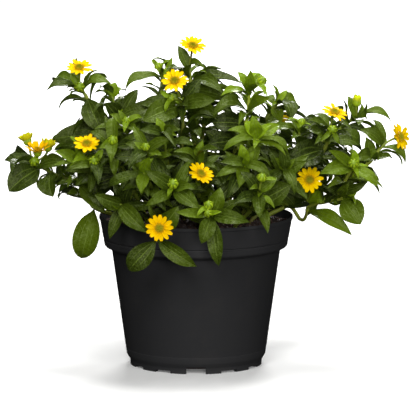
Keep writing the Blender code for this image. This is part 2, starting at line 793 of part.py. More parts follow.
def petal_ring(place, petals, radius, inner, rise):
    """Ray petals round an open middle: one closed ring whose petals rise at an angle."""
    points, faces = [], []
    slope = math.radians(rise)
    half = math.tau / petals / 2

    def at(distance, angle, level):
        out = inner + (distance - inner) * math.cos(slope)
        height = level + (distance - inner) * math.sin(slope)
        return place @ Vector((out * math.cos(angle), out * math.sin(angle), height))

    corners = ((inner, -1), (0.45 * radius, -1), (0.96 * radius, -0.62), (0.96 * radius, 0.62))
    for number in range(petals):
        turn = number * 2 * half
        for level in (PETAL_THICKNESS, 0):
            points += [at(distance, turn + share * half, level) for distance, share in corners]
    for number in range(petals):
        here, after = number * 8, (number + 1) % petals * 8
        top = [here, here + 1, here + 2, here + 3, after + 1, after]
        low = [corner + 4 for corner in top]
        faces += [(top[1], top[2], top[3]), (top[1], top[3], top[4])]
        faces += [(top[0], top[1], top[4], top[5])]
        faces += [(low[3], low[2], low[1]), (low[4], low[3], low[1])]
        faces += [(low[5], low[4], low[1], low[0]), (top[0], top[5], low[5], low[0])]
        for first, second in ((1, 2), (2, 3), (3, 4)):
            faces.append((top[second], top[first], low[first], low[second]))
    return points, faces


def tree_of(shape):
    return BVHTree.FromPolygons(shape[0], shape[1])


# Growing the plant


class Plant:
    """What has grown so far, with the search trees that keep new leaves clear of it."""

    def __init__(self):
        self.parts = {}
        self.obstacles = []

    def add(self, node, shape, tested=None, inner_faces=0):
        """Adds a shape to its node. The tested shape, a little larger, is what others keep clear of."""
        if node:
            self.parts.setdefault(node, []).append(shape)
        points, faces = tested or shape
        whole = tree_of((points, faces))
        outer = tree_of((points, faces[inner_faces:]))
        low = [min(point[axis] for point in points) for axis in range(3)]
        high = [max(point[axis] for point in points) for axis in range(3)]
        self.obstacles.append((node, whole, outer, low, high))

    def is_clear(self, node, shape, inner_faces=0):
        points, faces = shape
        whole = tree_of((points, faces))
        outer = tree_of((points, faces[inner_faces:]))
        low = [min(point[axis] for point in points) for axis in range(3)]
        high = [max(point[axis] for point in points) for axis in range(3)]
        for other, other_whole, other_outer, other_low, other_high in self.obstacles:
            if any(low[a] > other_high[a] or high[a] < other_low[a] for a in range(3)):
                continue
            if other == node and outer.overlap(other_outer):
                return False
            if other != node and whole.overlap(other_whole):
                return False
        return True


def smooth_point(points, place):
    """The point at a place along a smooth curve through the points, 0 being the first."""
    index = min(int(place), len(points) - 2)
    share = place - index
    before = points[index - 1] if index else points[0] * 2 - points[1]
    here, after = points[index], points[index + 1]
    beyond = points[index + 2] if index + 2 < len(points) else after * 2 - here
    return (
        here * 2
        + (after - before) * share
        + (before * 2 - here * 5 + after * 4 - beyond) * share**2
        + (here * 3 - before - after * 3 + beyond) * share**3
    ) / 2


def node_of(name):
    """The stem that a shoot belongs to: its own, or that of the shoot it forks from."""
    while "start" in SHOOTS[name]:
        name = SHOOTS[name]["start"][0]
    return "stem_" + name


def path_points(name):
    """The listed points of a shoot, from its root's top or its fork."""
    shoot = SHOOTS[name]
    path = [seen(*point) for point in shoot["path"]]
    if "root" in shoot:
        x, y = shoot["root"]
        return [Vector((x, y, soil_level(math.hypot(x, y)) + ROOT_RISE))] + path
    parent, place = shoot["start"]
    return [smooth_point(path_points(parent), place)] + path


def grow_stem(plant, name):
    points = path_points(name)
    thick, thin = (STEM_RADIUS, BRANCH_RADIUS) if "root" in SHOOTS[name] else (BRANCH_RADIUS, 1.0)
    places = []
    for index in range(len(points) - 1):
        places.append(index)
        if (points[index + 1] - points[index]).length > LONG_STEP:
            places.append(index + 0.5)
    places.append(len(points) - 1)
    line = [smooth_point(points, place) for place in places]
    radii = [thick + (thin - thick) * place / places[-1] for place in places]
    if "root" in SHOOTS[name]:
        line.insert(0, Vector((points[0].x, points[0].y, ROOT_BOTTOM)))
        radii.insert(0, STEM_RADIUS)
    wider = tube(line, [radius + LEAF_CLEARANCE for radius in radii])
    plant.add(node_of(name), tube(line, radii), wider)


def stem_end(name):
    points = path_points(name)
    return points[-1], (points[-1] - points[-2]).normalized()


def stalk(start, leave, end, arrive):
    """The flower stalk's line: it leaves along the stem and arrives along the bloom's axis."""
    reach = (end - start).length / 3
    first, second = start + leave * reach, end - arrive * reach
    return [
        start * (1 - s) ** 3
        + first * (3 * s * (1 - s) ** 2)
        + second * (3 * s**2 * (1 - s))
        + end * s**3
        for s in (0, 0.5, 1)
    ]


def grow_bloom(plant, name):
    """The stalk and green cup in the stem's node, and the petals and disc in nodes of their own."""
    shoot, kind, centre, axis = BLOOMS[name]
    centre, axis = seen(*centre), Vector(axis).normalized()
    start, leave = stem_end(shoot)
    node = node_of(shoot)
    place = facing(centre, axis)
    line = stalk(start - leave, leave, centre - axis * 3.4, axis)
    line += [centre - axis * 1.2, centre - axis * BLOOM_GAP]
    radii = [STALK_RADIUS + 0.1, STALK_RADIUS, STALK_RADIUS + 0.2, CUP_RADIUS, CUP_RADIUS]
    plant.add(node, tube(line, radii, BUD_SIDES))
    if kind == "open":
        petals = petal_ring(place, BLOOM_PETALS, BLOOM_RADIUS, RING_INNER_RADIUS, 6)
        disc = ((0, 0), (DISC_RADIUS, 0), (DISC_RADIUS, 1.2), (0, 2.1))
        plant.parts[name + "_rays"] = [petals]
        plant.parts[name + "_disc"] = [spun(disc, 7, place)]
        guard = ((0, -0.5), (5.0, -0.5), (BLOOM_RADIUS + 0.5, 0.6), (BLOOM_RADIUS + 0.5, 1.9), (0, 2.6))
    else:
        length, rise = (7.0, 50) if kind == "old" else (5.6, 56)
        core = ((0, 0), (2.6, 0), (2.6, length * 0.55), (0, length * 0.7))
        petals = petal_ring(place, 6, 2.0 + length, 2.0, rise)
        plant.parts[name] = [petals, spun(core, 6, place)]
        wide = 2.0 + length * math.cos(math.radians(rise))
        guard = ((0, -0.2), (2.5, -0.2), (wide + 0.8, length), (0, length + 0.4))
    plant.add(None, (None, None), spun(guard, 10, place))


def place_leaf(plant, node, candidates):
    """Adds the first leaf of those offered that stays clear of everything grown before."""
    for base, tip, width, face, arch in candidates:
        leaf = blade(base, tip, width, face, arch, LEAF_THICKNESS)
        over = 2 * LEAF_CLEARANCE
        wider = blade(base, tip, width + over, face, arch, LEAF_THICKNESS + over)
        inner = 3 if width + over < SMALL_LEAF_WIDTH else 4
        if plant.is_clear(node, wider, inner):
            plant.add(node, leaf, wider, inner)
            return True
    return False


def listed_leaf(name, leaf):
    """Ways to place a listed leaf: as listed, or with its tip a little nearer or further back."""
    place, across, up, depth, width, turn, arch = leaf
    points = path_points(name)
    joint = smooth_point(points, place)
    stem = (smooth_point(points, place) - smooth_point(points, place - 0.1)).normalized()
    for shorter in (1, 0.85):
        for bend in (0.7, 0.4, 1.1):
            for back in (0, -3, 3, -6, 6, -10, 10, -14, 14):
                tip = joint.lerp(seen(across, up, depth + back), shorter)
                chord = (tip - joint).normalized()
                out = (chord - stem * chord.dot(stem)).normalized()
                natural = stem * chord.dot(out) - out * chord.dot(stem)
                face = natural * (1 - abs(turn)) + Vector((0, -1, 0.15)) * turn
                yield joint - out * 0.5 - stem * 1.2, tip, width, face, arch * bend


def hides_bloom(base, tip):
    """Whether a leaf would stand before an open bloom in the front view, where the blooms show whole."""
    for name, (_, kind, centre, axis) in BLOOMS.items():
        if kind != "open" or axis[1] > 0 or name == "bloom_middle":
            continue
        for share in (0.45, 0.75, 1):
            gap = base.lerp(tip, share) - seen(*centre)
            up = gap.z * math.cos(LOOK_DOWN) + gap.y * math.sin(LOOK_DOWN)
            if gap.y < -1 and math.hypot(gap.x, up) < BLOOM_RADIUS + 1.5:
                return True
    return False


def ruled_leaf(joint, stem, turn, length, spread, droop):
    """Ways to place a leaf by rule: out from the stem, turned and lifted by steps until one is clear."""
    across, other = frame_along(stem, Vector((0, 0, 1)))
    for scale in (1, 0.8, 0.62):
        for lift in (0, -14, 14, -26):
            for swing in (0, 16, -16, 32, -32):
                angle = math.radians(turn + swing)
                out = across * math.cos(angle) + other * math.sin(angle)
                open_angle = math.radians(spread + lift)
                way = stem * math.cos(open_angle) + out * math.sin(open_angle)
                tip = joint + way * (length * scale) - Vector((0, 0, droop * length * scale))
                chord = (tip - joint).normalized()
                natural = stem * chord.dot(out) - out * chord.dot(stem)
                base = joint - out * 0.5 - stem * 1.2
                if not hides_bloom(base, tip):
                    yield base, tip, min(0.36 * length * scale, 9.4), natural, 0.16


def grow_leaves(plant):
    """Listed leaves first, then opposite pairs, each pair at a right angle to the one below it."""
    for name, shoot in SHOOTS.items():
        for leaf in shoot.get("leaves", ()):
            place_leaf(plant, node_of(name), listed_leaf(name, leaf))
    draw = random.Random(7)
    for name, shoot in SHOOTS.items():
        points = path_points(name)
        turn = draw.uniform(0, 180)
        for place in shoot.get("pairs", ()):
            place = min(place, len(points) - 1)
            stem = (smooth_point(points, place) - smooth_point(points, place - 0.1)).normalized()
            share = place / (len(points) - 1)
            length = (31 - 11 * share) * draw.uniform(0.85, 1.1)
            turn += 90
            for half in (0, 180):
                angles = (turn + half, length, 72 - 18 * share, 0.22 - 0.1 * share)
                leaves = ruled_leaf(smooth_point(points, place), stem, *angles)
                place_leaf(plant, node_of(name), leaves)


def grow_buds(plant):
    for name, shoot in SHOOTS.items():
        for across, up, depth, radius in shoot.get("buds", ()):
            start, leave = stem_end(name)
            centre = seen(across, up, depth)
            axis = (centre - start).normalized()
            line = stalk(start - leave, leave, centre - axis * radius, axis)
            line += [centre, centre + axis * (radius * 0.95)]
            radii = [STALK_RADIUS, STALK_RADIUS, 1.1, radius * 1.1, radius * 0.45]
            plant.add(node_of(name), tube(line, radii, BUD_SIDES))


def grow_plant():
    plant = Plant()
    rim = RIM_RADIUS + 0.5
    guard = (
        (0, 2),
        (BODY_FOOT_RADIUS + 0.6, 2),
        (BODY_TOP_RADIUS + 0.6, BODY_TOP_LEVEL),
        (COLLAR_FOOT_RADIUS + 0.6, BODY_TOP_LEVEL + 2.5),
        (rim, POT_HEIGHT + 0.4),
        (rim - 2.0, POT_HEIGHT + 0.4),
        (rim - 3.5, SOIL_EDGE_LEVEL + 0.6),
        (0, SOIL_MIDDLE_LEVEL + 0.6),
    )
    plant.add(None, (None, None), spun(guard, TURNED_SIDES, Matrix.Identity(4)))
    for name in SHOOTS:
        grow_stem(plant, name)
    for name in BLOOMS:
        grow_bloom(plant, name)
    grow_buds(plant)
    grow_leaves(plant)
    return plant


def fuse(name, shapes, finish):
    """One object of a node's shapes, joined by one union."""
    main = add_object(name, solid_mesh(name, *shapes[0]))
    if len(shapes) > 1:
        rest = new_collection(name + "_pieces")
        for number, shape in enumerate(shapes[1:]):
            piece = f"{name}_{number}"
            add_object(piece, solid_mesh(piece, *shape), collection=rest)
        combine(main, rest, "UNION")
    main.data.materials.clear()
    main.data.materials.append(finish)
    return main


def main():
    for old in list(bpy.data.objects):
        bpy.data.objects.remove(old)
    make_pot()
    make_soil([shoot["root"] for shoot in SHOOTS.values() if "root" in shoot])
    finishes = {name: material(name) for name in ("leaf", "petal", "disc")}
    for name, shapes in grow_plant().parts.items():
        kind = "leaf" if name.startswith("stem") else "disc" if name.endswith("disc") else "petal"
        fuse(name, shapes, finishes[kind])


main()
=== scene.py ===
"""Looks of a potted creeping zinnia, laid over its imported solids.

The origin is on the pot's axis at the level that its feet stand on, +Z is up and -Y is the front.
Lengths are in millimetres, and become Blender's metres where a mesh or a light is made.
"""

import math
import random
from collections import namedtuple

import bmesh
import bpy
import numpy as np
from mathutils import Matrix, Vector, noise
from mathutils.bvhtree import BVHTree


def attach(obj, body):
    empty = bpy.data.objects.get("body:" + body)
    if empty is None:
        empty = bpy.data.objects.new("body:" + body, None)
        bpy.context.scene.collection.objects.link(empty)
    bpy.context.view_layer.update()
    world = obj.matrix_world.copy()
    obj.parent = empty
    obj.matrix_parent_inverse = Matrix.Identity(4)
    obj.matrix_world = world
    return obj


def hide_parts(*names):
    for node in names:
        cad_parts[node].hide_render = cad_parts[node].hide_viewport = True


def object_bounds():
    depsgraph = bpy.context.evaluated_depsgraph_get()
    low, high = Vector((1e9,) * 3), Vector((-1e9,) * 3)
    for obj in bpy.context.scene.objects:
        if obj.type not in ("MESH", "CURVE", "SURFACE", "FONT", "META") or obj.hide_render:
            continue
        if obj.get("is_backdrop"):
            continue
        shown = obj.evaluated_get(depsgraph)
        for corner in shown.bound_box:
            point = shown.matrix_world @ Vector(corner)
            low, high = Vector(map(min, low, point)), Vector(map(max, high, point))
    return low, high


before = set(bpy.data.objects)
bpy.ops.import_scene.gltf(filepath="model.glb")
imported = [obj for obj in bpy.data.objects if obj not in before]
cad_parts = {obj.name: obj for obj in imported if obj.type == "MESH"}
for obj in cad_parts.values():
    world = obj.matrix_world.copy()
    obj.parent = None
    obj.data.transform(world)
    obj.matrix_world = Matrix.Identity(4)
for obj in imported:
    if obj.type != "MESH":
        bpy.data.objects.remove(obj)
cad_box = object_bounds()


# Studio
#
# The plant stands on a white paper sweep. Two soft boxes light it from the front, one from above and one
# from the rear, and a small reflector fills its right side. The camera has a long lens, and looks a little
# down on the pot's rim from 2.5 m.

MM = 0.001
POT_HEIGHT = 93.0
LOOK_DOWN = math.radians(8.3)
LOOK_DISTANCE = 2500.0
PHOTO_PIXELS = 415
PIXEL = 0.6186
RIM_MIDDLE_PIXEL = (196, 214.4)
SENSOR = 36.0
LAMPS_AIM = (0, 0, 100)
ROOM_LIGHT = 0.04
FLOOR_REACH = 7000.0
LAMPS = {
    "front_softbox": ((-350, -1600, 1100), 800, 22),
    "front_fill": ((250, -1900, 450), 500, 14),
    "overhead_softbox": ((150, 100, 1500), 600, 21),
    "right_reflector": ((900, -1200, 600), 500, 6),
    "rear_softbox": ((200, 1850, 1000), 800, 36),
}


def seen(across, up, depth):
    """The point that the photograph shows this far from the rim's middle, at a depth behind it."""
    away = depth * math.cos(LOOK_DOWN) - up * math.sin(LOOK_DOWN)
    grow = 1 + away / LOOK_DISTANCE
    level = (up * grow - depth * math.sin(LOOK_DOWN)) / math.cos(LOOK_DOWN)
    return Vector((across * grow, depth, POT_HEIGHT + level))


def linear(colour):
    """An sRGB hex colour as linear red, green, blue and alpha."""
    parts = [int(colour[place : place + 2], 16) / 255 for place in (1, 3, 5)]
    return (*(p / 12.92 if p <= 0.04045 else ((p + 0.055) / 1.055) ** 2.4 for p in parts), 1)


def node(tree, kind, inputs=None, **settings):
    """Adds one shader node with its settings, and links or fills its inputs. A text is a hex colour."""
    made = tree.nodes.new("ShaderNode" + kind)
    for name, value in settings.items():
        setattr(made, name, value)
    for key, value in (inputs or {}).items():
        if isinstance(value, bpy.types.Node):
            value = value.outputs[0]
        if isinstance(value, bpy.types.NodeSocket):
            tree.links.new(value, made.inputs[key])
        else:
            made.inputs[key].default_value = linear(value) if isinstance(value, str) else value
    return made


def new_material(name):
    """An empty node material, its tree, and the point on the object that its patterns start from."""
    made = bpy.data.materials.new(name)
    made.use_nodes = True
    made.node_tree.nodes.clear()
    return made, made.node_tree, node(made.node_tree, "TexCoord").outputs["Object"]


def place_object(name, data):
    made = bpy.data.objects.new(name, data)
    bpy.context.scene.collection.objects.link(made)
    return made


def aim(thing, target):
    thing.rotation_euler = (thing.location - target).to_track_quat("Z", "Y").to_euler()


middle = PHOTO_PIXELS / 2
target = seen((middle - RIM_MIDDLE_PIXEL[0]) * PIXEL, (RIM_MIDDLE_PIXEL[1] - middle) * PIXEL, 0)
camera = place_object("camera", bpy.data.cameras.new("camera"))
camera.data.sensor_width = SENSOR
camera.data.lens = SENSOR * LOOK_DISTANCE / (PHOTO_PIXELS * PIXEL)
camera.data.clip_start = 0.05
camera.data.clip_end = 50
back = Vector((0, -math.cos(LOOK_DOWN), math.sin(LOOK_DOWN)))
camera.location = (target + back * LOOK_DISTANCE) * MM
aim(camera, target * MM)
bpy.context.scene.camera = camera

for name, (spot, size, watts) in LAMPS.items():
    lamp = place_object(name, bpy.data.lights.new(name, "AREA"))
    lamp.data.shape = "SQUARE"
    lamp.data.size = size * MM
    lamp.data.energy = watts
    lamp.location = Vector(spot) * MM
    aim(lamp, Vector(LAMPS_AIM) * MM)

world = bpy.data.worlds.new("studio")
world.use_nodes = True
world.node_tree.nodes["Background"].inputs["Color"].default_value = linear("#ffffff")
world.node_tree.nodes["Background"].inputs["Strength"].default_value = ROOM_LIGHT
bpy.context.scene.world = world
bpy.context.scene.view_settings.view_transform = "Standard"

# White paper: a rough white surface, in hardly visible waves 78 mm across, that glows away from the pot as
# a lit backdrop does.
paper, tree, spot = new_material("white_paper")
waves = node(tree, "TexNoise", {"Vector": spot, "Scale": 1 / (78 * MM), "Detail": 3})
bump = node(tree, "Bump", {"Height": waves, "Strength": 0.05, "Distance": 0.2 * MM})
away = node(tree, "VectorMath", {0: spot}, operation="LENGTH").outputs["Value"]
lit = {"Value": away, "From Min": 0.3, "From Max": 1.8, "To Min": 0.1, "To Max": 0.97}
glow = {"Emission Color": "#ffffff", "Emission Strength": node(tree, "MapRange", lit)}
shader = node(tree, "BsdfPrincipled", {"Base Color": "#ececea", "Roughness": 0.9, "Normal": bump, **glow})
node(tree, "OutputMaterial", {"Surface": shader})

sheet = bpy.data.meshes.new("paper_sweep")
corners = [(x * FLOOR_REACH * MM, y * FLOOR_REACH * MM, 0) for x, y in ((-1, -1), (1, -1), (1, 1), (-1, 1))]
sheet.from_pydata(corners, [], [(0, 1, 2, 3)])
sheet.materials.append(paper)
sweep = place_object("paper_sweep", sheet)
sweep.visible_glossy = False
sweep.visible_diffuse = False
sweep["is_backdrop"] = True


# Nursery pot
#
# A thin-walled 12 cm pot, injection moulded in one shot from matt black polypropylene, with a turned-out
# collar, a rolled rim, a raised floor, low feet all round and four deeper drain notches.

RIM_RADIUS = 60.0
COLLAR_FOOT_RADIUS = 56.8
COLLAR_FOOT_LEVEL = 75.5
COLLAR_STEP_LEVEL = 79.3
BODY_TOP_RADIUS = 52.2
BODY_TOP_LEVEL = 71.8
BODY_FOOT_RADIUS = 43.1
BODY_FOOT_LEVEL = 6.8
LOW_RING_LEVEL = 10.2
FOOT_RADIUS = 41.2
WALL = 1.0
FLOOR_UNDERSIDE = 1.6
FLOOR_TOP = 2.8
FEET = 12
FOOT_ANGLE = 15.0
NOTCH_WIDTH = 11.8
NOTCH_HEIGHT = 4.3
NOTCH_DEPTH = 16.0
GAP_DEPTH = 5.0
POT_SIDES = 192
SHARP_CORNER = math.radians(32)


def mesh_object(name, bm):
    """Turns a bmesh into an object of its own."""
    mesh = bpy.data.meshes.new(name)
    bm.to_mesh(mesh)
    bm.free()
    return place_object(name, mesh)


def pot_profile():
    """The wall, from the middle of its underside round the rolled rim to the middle of its floor."""
    flare = (RIM_RADIUS - COLLAR_FOOT_RADIUS) / (POT_HEIGHT - 0.7 - COLLAR_FOOT_LEVEL)
    step = COLLAR_FOOT_RADIUS + flare * (COLLAR_STEP_LEVEL - COLLAR_FOOT_LEVEL)
    lean = (BODY_TOP_RADIUS - BODY_FOOT_RADIUS) / (BODY_TOP_LEVEL - BODY_FOOT_LEVEL)
    ring = BODY_FOOT_RADIUS + lean * (LOW_RING_LEVEL - BODY_FOOT_LEVEL)
    foot, rim, collar = FOOT_RADIUS, RIM_RADIUS, COLLAR_FOOT_RADIUS
    underside = ((0, FLOOR_UNDERSIDE), (foot - 4.0, FLOOR_UNDERSIDE), (foot - 3.8, 0.2), (foot - 3.6, 0))
    feet = ((foot - 0.5, 0), (foot - 0.2, 0.2), (foot, 3.3), (foot + 0.3, 3.9))
    body = (
        (BODY_FOOT_RADIUS - 0.3, BODY_FOOT_LEVEL - 0.7),
        (BODY_FOOT_RADIUS, BODY_FOOT_LEVEL),
        (ring, LOW_RING_LEVEL),
        (ring - 0.15, LOW_RING_LEVEL + 0.15),
        (ring - 0.08, LOW_RING_LEVEL + 0.6),
        (ring + lean * 1.4, LOW_RING_LEVEL + 1.2),
        (BODY_TOP_RADIUS, BODY_TOP_LEVEL),
        (BODY_TOP_RADIUS + 0.5, BODY_TOP_LEVEL + 0.7),
    )
    turned_out = (
        (collar - 0.9, COLLAR_FOOT_LEVEL - 1.6),
        (collar - 0.2, COLLAR_FOOT_LEVEL - 0.8),
        (collar, COLLAR_FOOT_LEVEL),
        (step - 0.3, COLLAR_STEP_LEVEL - 1.2),
        (step - 0.75, COLLAR_STEP_LEVEL - 0.8),
        (step - 0.75, COLLAR_STEP_LEVEL - 0.15),
        (step, COLLAR_STEP_LEVEL + 0.3),
    )
    roll = ((-0.55, -2.3), (-0.1, -2.0), (0, -0.8), (-0.15, -0.2), (-0.5, 0), (-0.9, -0.1), (-0.3 - WALL, -1))
    inside = (
        (collar - 0.2 - WALL, COLLAR_FOOT_LEVEL + 0.5),
        (collar - 1.2 - WALL, COLLAR_FOOT_LEVEL - 0.5),
        (BODY_TOP_RADIUS + 0.2 - WALL, BODY_TOP_LEVEL + 1.0),
        (BODY_FOOT_RADIUS - WALL, BODY_FOOT_LEVEL + 0.6),
        (foot - 1.6, FLOOR_TOP),
        (0, FLOOR_TOP),
    )
    rolled_rim = tuple((rim + out, POT_HEIGHT + up) for out, up in roll)
    return underside + feet + body + turned_out + rolled_rim + inside


def foot_cutters():
    """Boxes, four deep and eight shallow, that leave the feet standing between them."""
    bm = bmesh.new()
    gap_width = 2 * FOOT_RADIUS * math.sin(math.radians(FOOT_ANGLE / 2))
    for number in range(FEET):
        deep = number % 3 == 0
        inner = FOOT_RADIUS - (NOTCH_DEPTH if deep else GAP_DEPTH)
        width = NOTCH_WIDTH if deep else gap_width
        height = NOTCH_HEIGHT if deep else FLOOR_UNDERSIDE
        size = Matrix.Diagonal(((RIM_RADIUS - inner) * MM, width * MM, 2 * height * MM, 1))
        spot = Matrix.Translation(((inner + RIM_RADIUS) / 2 * MM, 0, 0))
        turn = Matrix.Rotation(math.tau * number / FEET, 4, "Z")
        bmesh.ops.create_cube(bm, size=1, matrix=turn @ spot @ size)
    return mesh_object("foot_cutters", bm)


def make_pot():
    """Spins the profile round the upright axis, and cuts the gaps between the feet."""
    bm = bmesh.new()
    points = [bm.verts.new((radius * MM, 0, level * MM)) for radius, level in pot_profile()]
    edges = [bm.edges.new(pair) for pair in zip(points, points[1:])]
    turn = dict(cent=(0, 0, 0), axis=(0, 0, 1), angle=math.tau, steps=POT_SIDES)
    bmesh.ops.spin(bm, geom=points + edges, **turn)
    bmesh.ops.remove_doubles(bm, verts=bm.verts, dist=1e-6)
    bmesh.ops.recalc_face_normals(bm, faces=bm.faces)
    made = mesh_object("nursery_pot", bm)
    cutters = foot_cutters()
    cut = made.modifiers.new("feet", "BOOLEAN")
    cut.operation = "DIFFERENCE"
    cut.object = cutters
    cut.solver = "EXACT"
    bpy.context.view_layer.update()
    evaluated = made.evaluated_get(bpy.context.evaluated_depsgraph_get())
    made.data = bpy.data.meshes.new_from_object(evaluated)
    made.modifiers.clear()
    bpy.data.objects.remove(cutters)
    made.data.materials.clear()
    made.data.shade_smooth()
    made.data.set_sharp_from_angle(angle=SHARP_CORNER)
    return made


# Moulded black polypropylene: a spark-eroded mould leaves a fine even grain, here a coarse 0.5 mm so that
# it shows, and faint upright flow lines. The grain spreads a lamp's reflection into a soft grey band.
polypropylene, tree, spot = new_material("moulded_black_polypropylene")
grain = node(tree, "TexNoise", {"Vector": spot, "Scale": 1 / (0.5 * MM), "Detail": 2})
stretch = node(tree, "Mapping", {"Vector": spot, "Scale": (1, 1, 0.06)})
flow = node(tree, "TexNoise", {"Vector": stretch, "Scale": 1 / (9 * MM), "Detail": 3})
dust = node(tree, "TexNoise", {"Vector": spot, "Scale": 1 / (14 * MM), "Detail": 6})
dusty = node(tree, "MapRange", {"Value": dust, "From Min": 0.52, "From Max": 0.8, "To Max": 0.3})
colour = node(tree, "MixRGB", {"Fac": dusty, "Color1": "#2a2a2b", "Color2": "#353331"})
range_of_gloss = {"From Min": 0.3, "From Max": 0.7, "To Min": 0.64, "To Max": 0.74}
gloss = node(tree, "MapRange", {"Value": flow, **range_of_gloss})
fine = node(tree, "Bump", {"Height": grain, "Strength": 0.25, "Distance": 0.03 * MM})
wide = node(tree, "Bump", {"Height": flow, "Strength": 0.2, "Distance": 0.25 * MM, "Normal": fine})
dull = {"Roughness": gloss, "IOR": 1.49, "Specular IOR Level": 0.2}
shader = node(tree, "BsdfPrincipled", {"Base Color": colour, "Normal": wide, **dull})
node(tree, "OutputMaterial", {"Surface": shader})

pot = make_pot()
pot.data.materials.append(polypropylene)
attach(pot, "root")
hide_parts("pot")


# Potting soil
#
# Moist peat and composted bark, filled to 5 mm below the rim and a little higher in the middle. Its top is
# crumbly, with loose crumbs and bark fibres that lie on it.

SOIL_EDGE_LEVEL = 87.6
SOIL_MIDDLE_LEVEL = 91.0
SOIL_GAP = 0.3
SOIL_RINGS = 72
SOIL_SECTORS = 216
CLODS = ((9.0, 1.1), (3.6, 0.9), (1.5, 0.45))
CRUMBS = 520
BARK_FIBRES = 170


def soil_level(radius):
    share = min(radius / (RIM_RADIUS - WALL), 1)
    return SOIL_MIDDLE_LEVEL + (SOIL_EDGE_LEVEL - SOIL_MIDDLE_LEVEL) * share * share


def soil_top(radius, angle):
    """A point on the soil's top, with the clods, crumbs and grains that stand above its mean level."""
    x, y = radius * math.cos(angle), radius * math.sin(angle)
    rise = sum(tall * noise.noise(Vector((x / size, y / size, size))) for size, tall in CLODS)
    return Vector((x, y, soil_level(radius) + rise))


def closed_rings(rings, sides):
    """Faces of a closed skin: a first point, rings of so many sides, and a last point."""
    last, faces = rings * sides + 1, []
    for step in range(sides):
        after = (step + 1) % sides
        faces.append((0, 1 + step, 1 + after))
        faces.append((last, last - sides + after, last - sides + step))
        for low in range(1, last - sides, sides):
            faces.append((low + step, low + step + sides, low + after + sides, low + after))
    return faces


def capped_rings(rings, sides):
    """Faces of a rod: rings of so many sides, with a flat cap at both ends."""
    faces = [tuple(range(sides))[::-1], tuple(range((rings - 1) * sides, rings * sides))]
    for low in range(0, (rings - 1) * sides, sides):
        for step in range(sides):
            after = (step + 1) % sides
            faces.append((low + step, low + after, low + after + sides, low + step + sides))
    return faces


def moved(faces, first):
    return [tuple(first + corner for corner in face) for face in faces]


def peat_body(edge):
    """The crumbled top and the plain body under it, from the top's middle to the floor's."""
    inset = WALL + SOIL_GAP + 0.1
    body = (
        (COLLAR_FOOT_RADIUS - inset - 0.5, BODY_TOP_LEVEL + 4.4),
        (BODY_TOP_RADIUS - inset, BODY_TOP_LEVEL + 1.2),
        (BODY_FOOT_RADIUS - inset, BODY_FOOT_LEVEL + 0.7),
        (FOOT_RADIUS - 2.0, FLOOR_TOP + SOIL_GAP),
    )
    points = [soil_top(0, 0)]
    rings = [(edge * (ring + 1) / SOIL_RINGS, None) for ring in range(SOIL_RINGS)] + list(body)
    for radius, level in rings:
        for sector in range(SOIL_SECTORS):
            point = soil_top(radius, math.tau * sector / SOIL_SECTORS)
            if level is not None:
                point.z = level
            points.append(point)
    points.append(Vector((0, 0, FLOOR_TOP + SOIL_GAP)))
    return points, closed_rings(len(rings), SOIL_SECTORS)


def crumb(draw, edge, ball, number):
    """The points of one lumpy crumb that lies on the soil."""
    place = soil_top(edge * 0.99 * math.sqrt(draw.random()), draw.uniform(0, math.tau))
    size = 0.35 + 1.1 * draw.random() ** 3
    place.z += size * 0.3
    lumps = (1 + 0.45 * noise.noise(corner * 1.7 + Vector((number, 0, 0))) for corner in ball)
    return [place + corner * (size * lump) for corner, lump in zip(ball, lumps)]


def bark_fibre(draw, edge):
    """The points of one three-sided fibre, a little bent in its middle."""
    middle = soil_top(edge * 0.97 * math.sqrt(draw.random()), draw.uniform(0, math.tau))
    middle.z += 0.35
    turn, length, thick = draw.uniform(0, math.tau), draw.uniform(1.5, 5.5), draw.uniform(0.12, 0.35)
    way = Vector((math.cos(turn), math.sin(turn), draw.uniform(-0.1, 0.25))).normalized()
    across = way.cross(Vector((0, 0, 1))).normalized()
    points = []
    for share in (-0.5, 0.0, 0.5):
        spot = middle + way * (length * share) + Vector((0, 0, 0.3 * thick * (share == 0)))
        points += [spot - across * thick, spot + across * thick, spot + Vector((0, 0, thick))]
    return points


def make_soil():
    draw = random.Random(31)
    edge = RIM_RADIUS - 1.2 - WALL - SOIL_GAP
    points, faces = peat_body(edge)
    peat_faces = len(faces)
    bm = bmesh.new()
    bmesh.ops.create_icosphere(bm, subdivisions=1, radius=1)
    ball = [vert.co.copy() for vert in bm.verts]
    ball_faces = [tuple(vert.index for vert in face.verts) for face in bm.faces]
    bm.free()
    for number in range(CRUMBS):
        faces += moved(ball_faces, len(points))
        points += crumb(draw, edge, ball, number)
    crumb_faces = len(faces)
    for _ in range(BARK_FIBRES):
        faces += moved(capped_rings(3, 3), len(points))
        points += bark_fibre(draw, edge)
    mesh = bpy.data.meshes.new("potting_soil")
    mesh.from_pydata([tuple(point * MM) for point in points], [], faces)
    kinds = range(len(faces))
    mesh.polygons.foreach_set("material_index", [int(kind >= crumb_faces) for kind in kinds])
    mesh.polygons.foreach_set("use_smooth", [kind < peat_faces for kind in kinds])
    return place_object("potting_soil", mesh)


